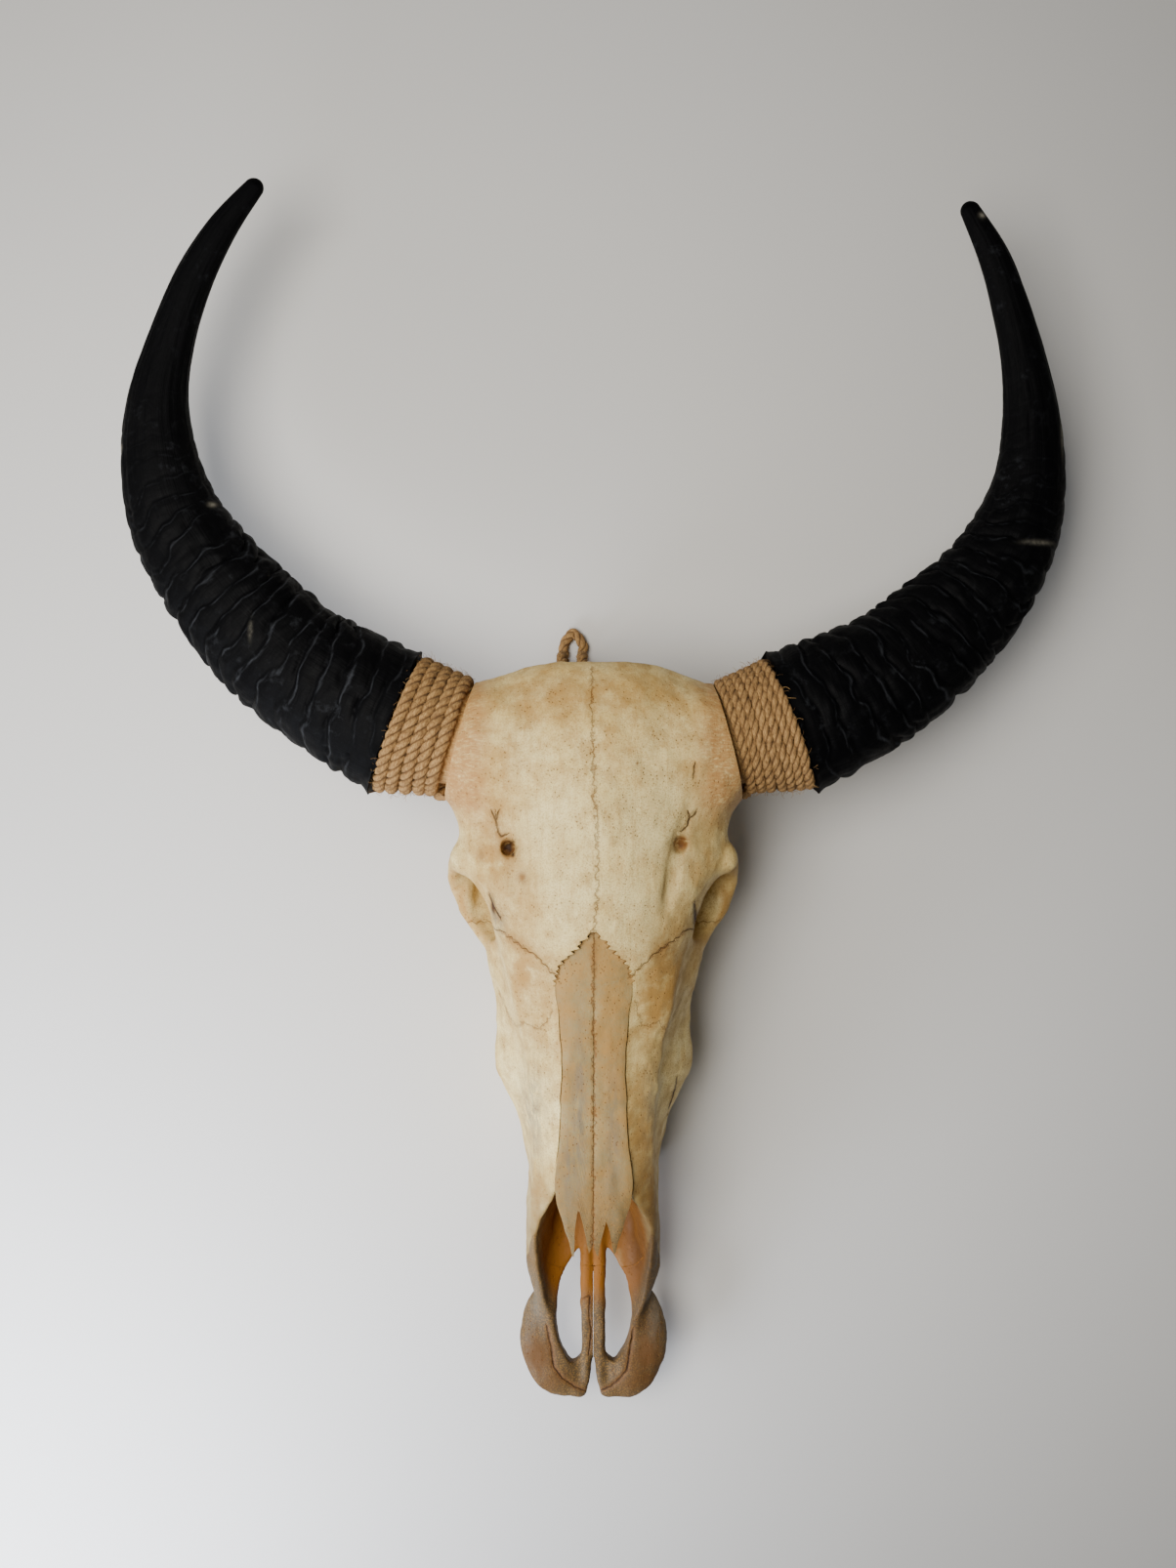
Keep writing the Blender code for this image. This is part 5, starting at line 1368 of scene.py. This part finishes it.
def bone(name, region, form, cuts=(), joins=()):
    """A named bone: what a region block holds of the bony form, less its cuts, with its joins added."""
    made = new_object(name, form.data.copy())
    boolean(made, "INTERSECT", region)
    for other in cuts:
        boolean(made, "DIFFERENCE", other)
    for other in joins:
        boolean(made, "UNION", other)
    return largest_piece(baked(made))


def largest_piece(made):
    """Keeps the largest closed surface of an object."""
    form = bmesh.new()
    form.from_mesh(made.data)
    unseen, best = set(form.verts), []
    while unseen:
        piece, edge = [], [unseen.pop()]
        while edge:
            vert = edge.pop()
            piece.append(vert)
            for near in (link.other_vert(vert) for link in vert.link_edges):
                if near in unseen:
                    unseen.remove(near)
                    edge.append(near)
        best = max(best, piece, key=len)
    kept = set(best)
    bmesh.ops.delete(form, geom=[vert for vert in form.verts if vert not in kept], context="VERTS")
    form.to_mesh(made.data)
    form.free()
    return made


def near(points, marks):
    """How strongly each point lies in the marks, given as (x, y, reach across, reach along, strength)."""
    total = np.zeros(len(points))
    for x, y, wide, long, strength in marks:
        total += strength * np.exp(-(((points[:, 0] - x) / wide) ** 2 + ((points[:, 1] - y) / long) ** 2))
    return np.clip(total, 0, 1)


def paint_bone(mesh):
    """Stores what the finish needs: how stained or bleached each place is, where shade is painted, and how
    far from a seam.
    """
    points, normals = mesh_arrays(mesh)
    x, y, z = points.T
    up = np.clip(normals[:, 2] * 1.5 + 0.3, 0, 1)
    # The hole marks paint shade; the others are stains
    stains_and_shade = {"tan": TAN_MARKS, "brown": BROWN_MARKS, "hole": HOLE_SHADE_MARKS, "grey": GREY_MARKS,
              "pale": PALE_MARKS, "orange": ORANGE_MARKS}
    for name, marks in stains_and_shade.items():
        put(mesh, name, near(points, marks) * up)
    wide = np.abs(x)
    # The nose passage: its brown stain with painted shade of the recess
    passage = np.clip((curve(CAVITY_WIDTHS)(y) + 0.0035 - wide) / 0.003, 0, 1)
    passage *= np.clip((-0.24 - y) / 0.02, 0, 1) * np.clip((y + 0.405) / 0.02, 0, 1)
    passage *= np.clip((roof(y) - 0.010 - z) / 0.010, 0, 1)
    # Painted shade, in tan, on the inner walls of the eye sockets
    from_centre = np.linalg.norm(np.stack([wide, y, z], 1) - np.array(ORBIT_CENTRE), axis=1)
    socket = np.clip(1 - np.abs(from_centre - SOCKET_SHADE_AT) / SOCKET_SHADE_REACH, 0, 1)
    outward = np.stack([normals[:, 0] * np.sign(x), normals[:, 1], normals[:, 2]], 1)
    socket *= np.clip(0.2 + outward @ np.array(ORBIT_AXIS), 0, 1)
    put(mesh, "passage", passage)
    put(mesh, "muzzle", np.clip((MUZZLE_DARK_FROM - y) / MUZZLE_DARK_REACH, 0, 1))
    put(mesh, "socket", socket)
    put(mesh, "core", np.clip((wide - 0.066) / 0.014, 0, 1) * np.clip((y + 0.022) / 0.02, 0, 1))
    # Painted shade: faces turned down are made tan
    put(mesh, "underside", np.clip(-normals[:, 2] * 1.4, 0, 1))
    drawn = {"midline": (MIDLINE,), "joint": (FRONTAL_JOINT,), "seam": SEAMS, "crack": GROOVES + CRACKS}
    for name, lines in drawn.items():
        signed, plain = line_gaps(points, lines)
        if name == "crack":
            steep = (wide > STEEP_FROM[0]) & (y < STEEP_FROM[1])
            plain = plain + np.where(steep, np.clip(0.45 - normals[:, 2], 0, 1), 0) * 0.02
        if name == "joint":
            edge = (wide - nasal_half(y)) * 0.7
            rear = (y > -0.127) & (y < -0.086) & (wide < 0.024)
            signed, plain = np.where(rear, edge, signed), np.where(rear, np.abs(edge), plain)
        put(mesh, f"{name}_side", signed)
        put(mesh, f"{name}_gap", plain)


# What paint_bone stores for the finish
BONE_PLACES = (
    "tan", "brown", "hole", "grey", "pale", "orange", "passage", "muzzle", "socket", "core", "underside",
    "midline_side", "midline_gap", "joint_side", "joint_gap", "seam_side", "seam_gap", "crack_side",
    "crack_gap",
)


def material(name, **looks):
    """A new finish and its tree, with the constants that are the same all over set on the shader."""
    made = bpy.data.materials.new(name)
    made.use_nodes = True
    tree = made.node_tree
    shader = tree.nodes["Principled BSDF"]
    for label, value in looks.items():
        shader.inputs[label.replace("_", " ").title().replace("Ior", "IOR")].default_value = value
    return made, tree, shader


def dry_bone(name, base, pale, stain):
    """Dry, cleaned and handled bone, waxy and dull: bleached or greasy in places, with pores, seams and
    painted shade.
    """
    made, tree, shader = material(name, IOR=1.55, specular_ior_level=0.16)
    stored = {}
    for label in BONE_PLACES:
        stored[label] = node(tree, NAMED, attribute_name=label).outputs["Fac"]
    place = node(tree, PLACE).outputs["Object"]
    long = node(tree, MAPPING, {"Vector": place, "Scale": (1, 0.12, 0.6)})
    wide = node(tree, MAPPING, {"Vector": place, "Scale": (0.16, 1, 1)})
    grain = {}
    patterns = (
        ("broad", place, BLOTCH_SIZE, 4.0),
        ("cloudy", place, CLOUD_SIZE, 6.0),
        ("fine", place, GRAIN_SIZE, 4.0),
        ("streak", long, STREAK_SIZE, 4.0),
        ("thread", wide, THREAD_SIZE, 4.0),
        ("warp", place, WARP_SIZE, 4.0),
        ("speck", place, SPECK_SIZE, 3.0),
    )
    for label, where, size, detail in patterns:
        looks = {"Vector": where, "Scale": 1 / size, "Detail": detail, "Roughness": 0.6}
        grain[label] = node(tree, NOISE, looks)

    # Each layer: how it is spread, where it starts and ends, how strong it is, where it lies, and its colour
    share = node(tree, RANGE, {0: grain["broad"], 1: 0.35, 2: 0.65})
    colour = node(tree, MIX, {0: share, 6: base, 7: pale}, **IN_COLOUR)
    layers = (
        ("cloudy", 0.40, 0.66, 0.55, None, stain),
        ("cloudy", 0.14, 0.52, 0.85, "tan", linear(BONE_TAN)),
        ("broad", 0.0, 0.7, 0.75, "pale", pale),
        ("streak", 0.46, 0.72, 0.30, None, stain),
        ("broad", -0.6, 0.5, 0.66, "muzzle", linear(BONE_SMOKE)),
        ("speck", 0.47, 0.64, 0.42, None, linear(BONE_TAN)),
        ("streak", 0.30, 0.60, 0.75, "grey", linear(BONE_GREY)),
        ("thread", 0.10, 0.62, 0.85, "core", linear(BONE_PINK)),
        ("cloudy", 0.22, 0.55, 0.95, "orange", linear(BONE_ORANGE)),
        # The passage's umber is stain with painted shade; the tan of the sockets and the underside is painted
        # shade
        ("cloudy", 0.05, 0.40, 0.97, "passage", linear(BONE_UMBER)),
        ("cloudy", 0.1, 0.5, 0.90, "socket", linear(BONE_TAN)),
        ("cloudy", 0.30, 0.65, 0.60, "underside", linear(BONE_TAN)),
        ("warp", 0.25, 0.50, 0.95, "brown", linear(BONE_BROWN)),
        # Painted shade in the holes
        ("warp", 0.20, 0.40, 0.97, "hole", linear(BONE_DARK)),
    )
    for spread, low, high, strength, mask, tone in layers:
        share = node(tree, RANGE, {0: grain[spread], 1: low, 2: high, 4: strength},
                     interpolation_type="SMOOTHSTEP")
        if mask:
            share = node(tree, MATH, {0: share, 1: stored[mask]}, operation="MULTIPLY")
        colour = node(tree, MIX, {0: share, 6: colour, 7: tone}, **IN_COLOUR)

    # Seams and cracks: name, how far the line wanders, its width, its strength and its colour. Each line ends
    # where the plain distance grows
    depth = None
    sway = node(tree, MATH, {0: grain["warp"], 1: 0.5}, operation="SUBTRACT")
    lines = (
        ("midline", 0.0105, 0.00075, 0.62, BONE_BROWN),
        ("joint", 0.0, 0.00060, 0.40, BONE_BROWN),
        ("seam", 0.0085, 0.00055, 0.34, BONE_BROWN),
        # Along the carved grooves these dark lines are painted shade; elsewhere they are cracks
        ("crack", 0.0022, 0.00085, 0.92, BONE_DARK),
    )
    for label, wander, width, strength, tone in lines:
        aside = node(tree, MATH, {0: sway, 1: wander}, operation="MULTIPLY")
        moved = node(tree, MATH, {0: stored[f"{label}_side"], 1: aside})
        off = node(tree, MATH, {0: moved}, operation="ABSOLUTE")
        line = node(tree, RANGE, {0: off, 1: width * 0.35, 2: width, 3: 1.0, 4: 0.0})
        halo = node(tree, RANGE, {0: off, 1: width, 2: width * 4, 3: 0.32 * strength, 4: 0.0})
        ends = node(tree, RANGE, {0: stored[f"{label}_gap"], 1: 0.0022, 2: 0.0030, 3: 1.0, 4: 0.0})
        line = node(tree, MATH, {0: line, 1: ends}, operation="MULTIPLY")
        halo = node(tree, MATH, {0: halo, 1: ends}, operation="MULTIPLY")
        colour = node(tree, MIX, {0: halo, 6: colour, 7: linear(BONE_BROWN)}, **IN_COLOUR)
        faded = node(tree, RANGE, {0: grain["cloudy"], 1: 0.35, 2: 0.60, 3: strength * 0.45, 4: strength})
        drawn = node(tree, MATH, {0: line, 1: faded}, operation="MULTIPLY")
        colour = node(tree, MIX, {0: drawn, 6: colour, 7: linear(tone)}, **IN_COLOUR)
        depth = line if depth is None else node(tree, MATH, {0: depth, 1: line}, operation="MAXIMUM")

    # Pores: small dark pits, closer together in the cloudier places
    cells = node(tree, CELLS, {"Vector": place, "Scale": 1 / PORE_SPACING, "Randomness": 1.0})
    pit = node(tree, RANGE, {0: cells, 1: 0.10, 2: 0.24, 3: 1.0, 4: 0.0})
    chosen = node(tree, RANGE, {0: grain["cloudy"], 1: 0.40, 2: 0.60})
    pit = node(tree, MATH, {0: pit, 1: chosen}, operation="MULTIPLY")
    shown = node(tree, MATH, {0: pit, 1: 0.65}, operation="MULTIPLY")
    colour = node(tree, MIX, {0: shown, 6: colour, 7: linear(BONE_BROWN)}, **IN_COLOUR)
    tree.links.new(colour.outputs[2], shader.inputs["Base Color"])

    rough = node(tree, MATH, {0: grain["fine"], 1: 0.45}, operation="MULTIPLY")
    threads = node(tree, MATH, {0: grain["thread"], 1: stored["core"]}, operation="MULTIPLY")
    streaks = node(tree, MATH, {0: grain["streak"], 1: 0.4}, operation="MULTIPLY")
    height = node(tree, MATH, {0: rough, 1: streaks})
    height = node(tree, MATH, {0: height, 1: threads})
    sunk = node(tree, MATH, {0: pit, 1: depth}, operation="MAXIMUM")
    height = node(tree, MATH, {0: height, 1: sunk}, operation="SUBTRACT")
    bump = node(tree, BUMP, {"Strength": 0.8, "Distance": 0.0006, "Height": height})
    tree.links.new(bump.outputs[0], shader.inputs["Normal"])
    dull = node(tree, RANGE, {0: grain["cloudy"], 1: 0.3, 2: 0.7, 3: 0.50, 4: 0.72})
    tree.links.new(dull.outputs[0], shader.inputs["Roughness"])
    return made


def black_horn():
    """Black keratin worn by handling: a dull waxy sheen, pale crests that are painted highlights, grey scuffs
    and fine lines.
    """
    made, tree, shader = material("black_keratin_worn_satin", IOR=1.54, specular_ior_level=0.05)
    place = node(tree, PLACE).outputs["Object"]
    wrapped = node(tree, NAMED, attribute_name="grain_place").outputs["Vector"]
    phase = node(tree, NAMED, attribute_name="phase").outputs["Fac"]
    folded = node(tree, NAMED, attribute_name="folded").outputs["Fac"]
    along = node(tree, MAPPING, {"Vector": wrapped, "Scale": (1, 1, 0.07)})
    across = node(tree, MAPPING, {"Vector": wrapped, "Scale": (0.16, 0.16, 1)})
    lines = node(tree, NOISE, {"Vector": along, "Scale": 1 / HORN_LINE_SIZE, "Detail": 3.0})
    rings = node(tree, NOISE,
                 {"Vector": across, "Scale": 1 / HORN_RING_SIZE, "Detail": 4.0, "Roughness": 0.6})
    broad = node(tree, NOISE, {"Vector": place, "Scale": 1 / HORN_CLOUD_SIZE, "Detail": 4.0})
    scuffs = node(tree, NOISE,
                  {"Vector": place, "Scale": 1 / HORN_SCUFF_SIZE, "Detail": 6.0, "Roughness": 0.7})
    cloud = node(tree, RANGE, {0: broad, 1: 0.42, 2: 0.68})
    colour = node(tree, MIX, {0: cloud, 6: linear(HORN_DEEP), 7: linear(HORN_BLACK)}, **IN_COLOUR)

    # Painted highlights: thin pale lines on the shoulder of each fold
    turned = node(tree, MATH, {0: phase, 1: node(tree, RANGE, {0: scuffs, 3: -0.10, 4: 0.10})})
    share = node(tree, MATH, {0: turned, 1: 1.0}, operation="FLOORED_MODULO")
    off = node(tree, MATH, {0: share, 1: 0.80}, operation="SUBTRACT")
    off = node(tree, MATH, {0: off}, operation="ABSOLUTE")
    crest = node(tree, RANGE, {0: off, 1: 0.010, 2: 0.080, 3: 1.0, 4: 0.0})
    highlight_breaks = node(tree, RANGE, {0: rings, 1: 0.42, 2: 0.64})
    crest = node(tree, MATH, {0: crest, 1: highlight_breaks}, operation="MULTIPLY")
    crest = node(tree, MATH, {0: crest, 1: folded}, operation="MULTIPLY")
    crest = node(tree, MATH, {0: crest, 1: 0.50}, operation="MULTIPLY", use_clamp=True)
    colour = node(tree, MIX, {0: crest, 6: colour, 7: linear(HORN_SCUFF_AND_HIGHLIGHT)}, **IN_COLOUR)
    worn = node(tree, RANGE, {0: scuffs, 1: 0.56, 2: 0.70, 4: 0.30})
    worn = node(tree, MATH, {0: worn, 1: cloud}, operation="MULTIPLY")
    colour = node(tree, MIX, {0: worn, 6: colour, 7: linear(HORN_SCUFF_AND_HIGHLIGHT)}, **IN_COLOUR)
    bare = node(tree, NAMED, attribute_name="chipped").outputs["Fac"]
    ragged = node(tree, RANGE, {0: scuffs, 1: 0.35, 2: 0.55})
    bare = node(tree, MATH, {0: bare, 1: ragged}, operation="MULTIPLY")
    colour = node(tree, MIX, {0: bare, 6: colour, 7: linear(HORN_CHIP)}, **IN_COLOUR)
    tree.links.new(colour.outputs[2], shader.inputs["Base Color"])

    dull = node(tree, RANGE, {0: scuffs, 1: 0.3, 2: 0.7, 3: 0.50, 4: 0.70})
    tree.links.new(dull.outputs[0], shader.inputs["Roughness"])
    ringed = node(tree, MATH, {0: rings, 1: folded}, operation="MULTIPLY")
    height = node(tree, MATH, {0: lines, 1: node(tree, MATH, {0: scuffs, 1: 0.6}, operation="MULTIPLY")})
    height = node(tree, MATH, {0: height, 1: node(tree, MATH, {0: ringed, 1: 1.6}, operation="MULTIPLY")})
    bump = node(tree, BUMP, {"Strength": 0.5, "Distance": 0.0006, "Height": height})
    tree.links.new(bump.outputs[0], shader.inputs["Normal"])
    return made


def jute():
    """Unbleached jute: matte golden-brown plant fibre, lighter on its crowns, with painted shade between the
    strands.
    """
    made, tree, shader = material("unbleached_jute", IOR=1.53, roughness=0.92)
    wrapped = node(tree, NAMED, attribute_name="fibre_place").outputs["Vector"]
    deep = node(tree, NAMED, attribute_name="strand_height").outputs["Fac"]
    place = node(tree, MAPPING, {"Vector": wrapped, "Scale": (1, 1, 1 / FIBRE_RUN)})
    fibre = node(tree, NOISE, {"Vector": place, "Scale": 6.0, "Detail": 4.0, "Roughness": 0.65})
    solid = node(tree, PLACE).outputs["Object"]
    spot = node(tree, NOISE, {"Vector": solid, "Scale": 1 / JUTE_SPOT_SIZE, "Detail": 3.0})
    light = node(tree, RANGE, {0: fibre, 1: 0.36, 2: 0.64})
    colour = node(tree, MIX, {0: light, 6: linear(JUTE_MID), 7: linear(JUTE_LIGHT)}, **IN_COLOUR)
    aged = node(tree, RANGE, {0: spot, 1: 0.48, 2: 0.70, 4: 0.45})
    colour = node(tree, MIX, {0: aged, 6: colour, 7: linear(JUTE_DARK)}, **IN_COLOUR)
    # Painted shade between the strands
    sunk = node(tree, RANGE, {0: deep, 1: 0.05, 2: 0.65, 3: 0.75, 4: 0.0})
    colour = node(tree, MIX, {0: sunk, 6: colour, 7: linear(JUTE_DARK)}, **IN_COLOUR)
    tree.links.new(colour.outputs[2], shader.inputs["Base Color"])
    bump = node(tree, BUMP, {"Strength": 0.8, "Distance": 0.0005, "Height": fibre})
    tree.links.new(bump.outputs[0], shader.inputs["Normal"])
    return made


def floor_and_lights():
    """A plain pale floor of matte paint, broad soft light from windows on the left, and a ceiling lamp."""
    corners = ((-1, -1), (1, -1), (1, 1), (-1, 1))
    corners = [(FLOOR_HALF_WIDTH * x, FLOOR_HALF_WIDTH * y, 0) for x, y in corners]
    floor = new_object("floor", plain_mesh("floor", corners, [(0, 1, 2, 3)]))
    made, tree, shader = material("matte_floor_paint", roughness=0.9)
    clouds = node(tree, NOISE, {"Vector": node(tree, PLACE).outputs["Object"], "Scale": 1 / FLOOR_CLOUD_SIZE})
    colour = node(tree, MIX, {0: clouds, 6: linear(FLOOR_GREY), 7: linear(FLOOR_PALE)}, **IN_COLOUR)
    tree.links.new(colour.outputs[2], shader.inputs["Base Color"])
    floor.data.materials.append(made)
    for name, place, aim, size, power, spread, tint in LIGHTS:
        lamp = bpy.data.lights.new(name, "AREA")
        lamp.shape = "SQUARE"
        lamp.size = size
        lamp.energy = power
        lamp.spread = math.radians(spread)
        lamp.color = linear(tint)[:3]
        made = new_object(name, lamp)
        made.location = place
        made.rotation_euler = (Vector(aim) - Vector(place)).to_track_quat("-Z", "Y").to_euler()
    world = bpy.data.worlds.new("soft_room")
    world.use_nodes = True
    world.node_tree.nodes["Background"].inputs[0].default_value = linear(SKY_PALE)
    world.node_tree.nodes["Background"].inputs[1].default_value = WORLD_STRENGTH
    bpy.context.scene.world = world


def finish(made, looks, slot, *nodes):
    """Gives a piece its finish, hides the model's parts that it stands for, and lets it ride with the skull.
    """
    if looks is not None:
        made.data.materials.clear()
        made.data.materials.append(looks)
    made.data.shade_smooth()
    made.data.set_sharp_from_angle(angle=SHARP_ANGLE)
    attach(made, "root")
    if nodes:
        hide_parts(*nodes)


def make_ropes():
    """The hanging loop and both bindings, of the same jute."""
    tree = laid_rope_tree()
    values = {"Radius": LOOP_RADIUS, "Strand Pitch": STRAND_PITCH, "Groove Depth": STRAND_GROOVE,
              "Fibre Length": LOOP_FIBRE_LENGTH, "Fibres Per Square Metre": FIBRES_PER_SQUARE_METRE,
              "Seed": 3, "Finish": jute()}
    route = loop_route()
    loop = laid_rope("hanging_rope_loop", route, values, tree)
    finish(loop, None, "rope", "hanging_loop")
    for side, sign in SIDES:
        values |= {"Radius": ROPE_RADII[side] * BINDING_SWELL, "Fibre Length": BINDING_FIBRE_LENGTH,
                   "Seed": 11 + sign}
        made = laid_rope(f"jute_binding_{side}", binding_route(side, sign), values, tree)
        finish(made, None, "rope", f"rope_binding_{side}")


def make_bones():
    """All bones and teeth: blocks part the bony form, then each part gets its stains, its painted shade and
    its finish.
    """
    form = helper("bone_form", plain_mesh("bone_form", *bone_points_and_quads()))
    move_along_normals(form.data, relief)
    wide, front = BLOCK_HALF_WIDTH, BLOCK_FRONT_Y
    behind = [(x, y + GAP / 2) for x, y in FRONTAL_JOINT] + [(wide, wide), (-wide, wide)]
    ahead = [(x, y - GAP / 2) for x, y in FRONTAL_JOINT] + [(wide, front), (-wide, front)]
    cranium_region = helper("cranium_region", upright_block("cranium_region", behind))
    face_region = helper("face_region", upright_block("face_region", ahead))
    seam = [(y - GAP / 2, z) for y, z in PREMAXILLA_SEAM]
    muzzle = [(front, BLOCK_LOW_Z), (seam[1][0], BLOCK_LOW_Z), *reversed(seam),
              (seam[0][0], BLOCK_HIGH_Z), (front, BLOCK_HIGH_Z)]
    muzzle_cut = [(y + GAP * (y > front), z) for y, z in muzzle]
    muzzle_cut = helper("muzzle_cut", side_block("muzzle_cut", muzzle_cut, -wide, wide))
    bed = nasal_bed()
    cheeks = {}
    for side, sign in SIDES:
        ends = sorted((sign * CHEEKBONE_INNER_X, sign * wide))
        block = side_block(f"cheek_region_{side}", CHEEKBONE_OUTLINE, *ends)
        cheeks[side] = helper(f"cheek_region_{side}", block)
    cores = [core_end(side, sign) for side, sign in SIDES]

    # Cream waxy bone, the smoky and greasy bone of the muzzle, and the greyer nasal plates
    looks = dry_bone("dry_cleaned_bone", linear(BONE_CREAM), linear(BONE_PALE), linear(BONE_TAN))
    stained = dry_bone("fat_stained_bone", linear(BONE_SMOKE), linear(BONE_FATTY), linear(BONE_ORANGE))
    weathered = dry_bone("weathered_bone", linear(BONE_WEATHERED), linear(BONE_DULL), linear(BONE_TAN))
    finishes = {"premaxilla": (stained, "stained_bone"), "nasal": (weathered, "bone")}

    outside = [beyond_binding(side, sign) for side, sign in SIDES]
    made = {
        "cranium": bone("cranium_bone", cranium_region, form,
                        [*cheeks.values(), *outside, bed, *loop_holes()], cores),
        "upper_jaw": bone("upper_jaw_bone", face_region, form, [*cheeks.values(), muzzle_cut, bed]),
    }
    for side, sign in SIDES:
        ends = sorted((sign * GAP / 2, sign * wide))
        region = helper(f"muzzle_{side}", side_block(f"muzzle_{side}", muzzle, *ends))
        made[f"premaxilla_{side}"] = bone(f"premaxilla_bone_{side}", region, form, [bed])
        made[f"cheekbone_{side}"] = bone(f"cheekbone_bone_{side}", cheeks[side], form)
        made[f"nasal_{side}"] = nasal_bone(side, sign)
        made[f"nasal_{side}"].name = f"nasal_bone_{side}"
    for name, piece in made.items():
        paint_bone(piece.data)
        finish(piece, *finishes.get(name.split("_")[0], (looks, "bone")), name)

    # Ivory enamel with brown stains
    enamel = dry_bone("worn_tooth_enamel", linear(ENAMEL_IVORY), linear(BONE_PALE), linear(ENAMEL_STAIN))
    for side, sign in SIDES:
        made = teeth(side, sign)
        paint_bone(made.data)
        finish(made, enamel, "bone")
    for old in HELPERS:
        bpy.data.objects.remove(old)


def main():
    """Camera and ropes first, then the bones, the horns and the stage."""
    place_camera()
    make_ropes()
    make_bones()
    horn = black_horn()
    for side, sign in SIDES:
        finish(horn_sheath(side, sign), horn, "horn", f"horn_{side}")
    floor_and_lights()
    bpy.context.view_layer.update()


main()
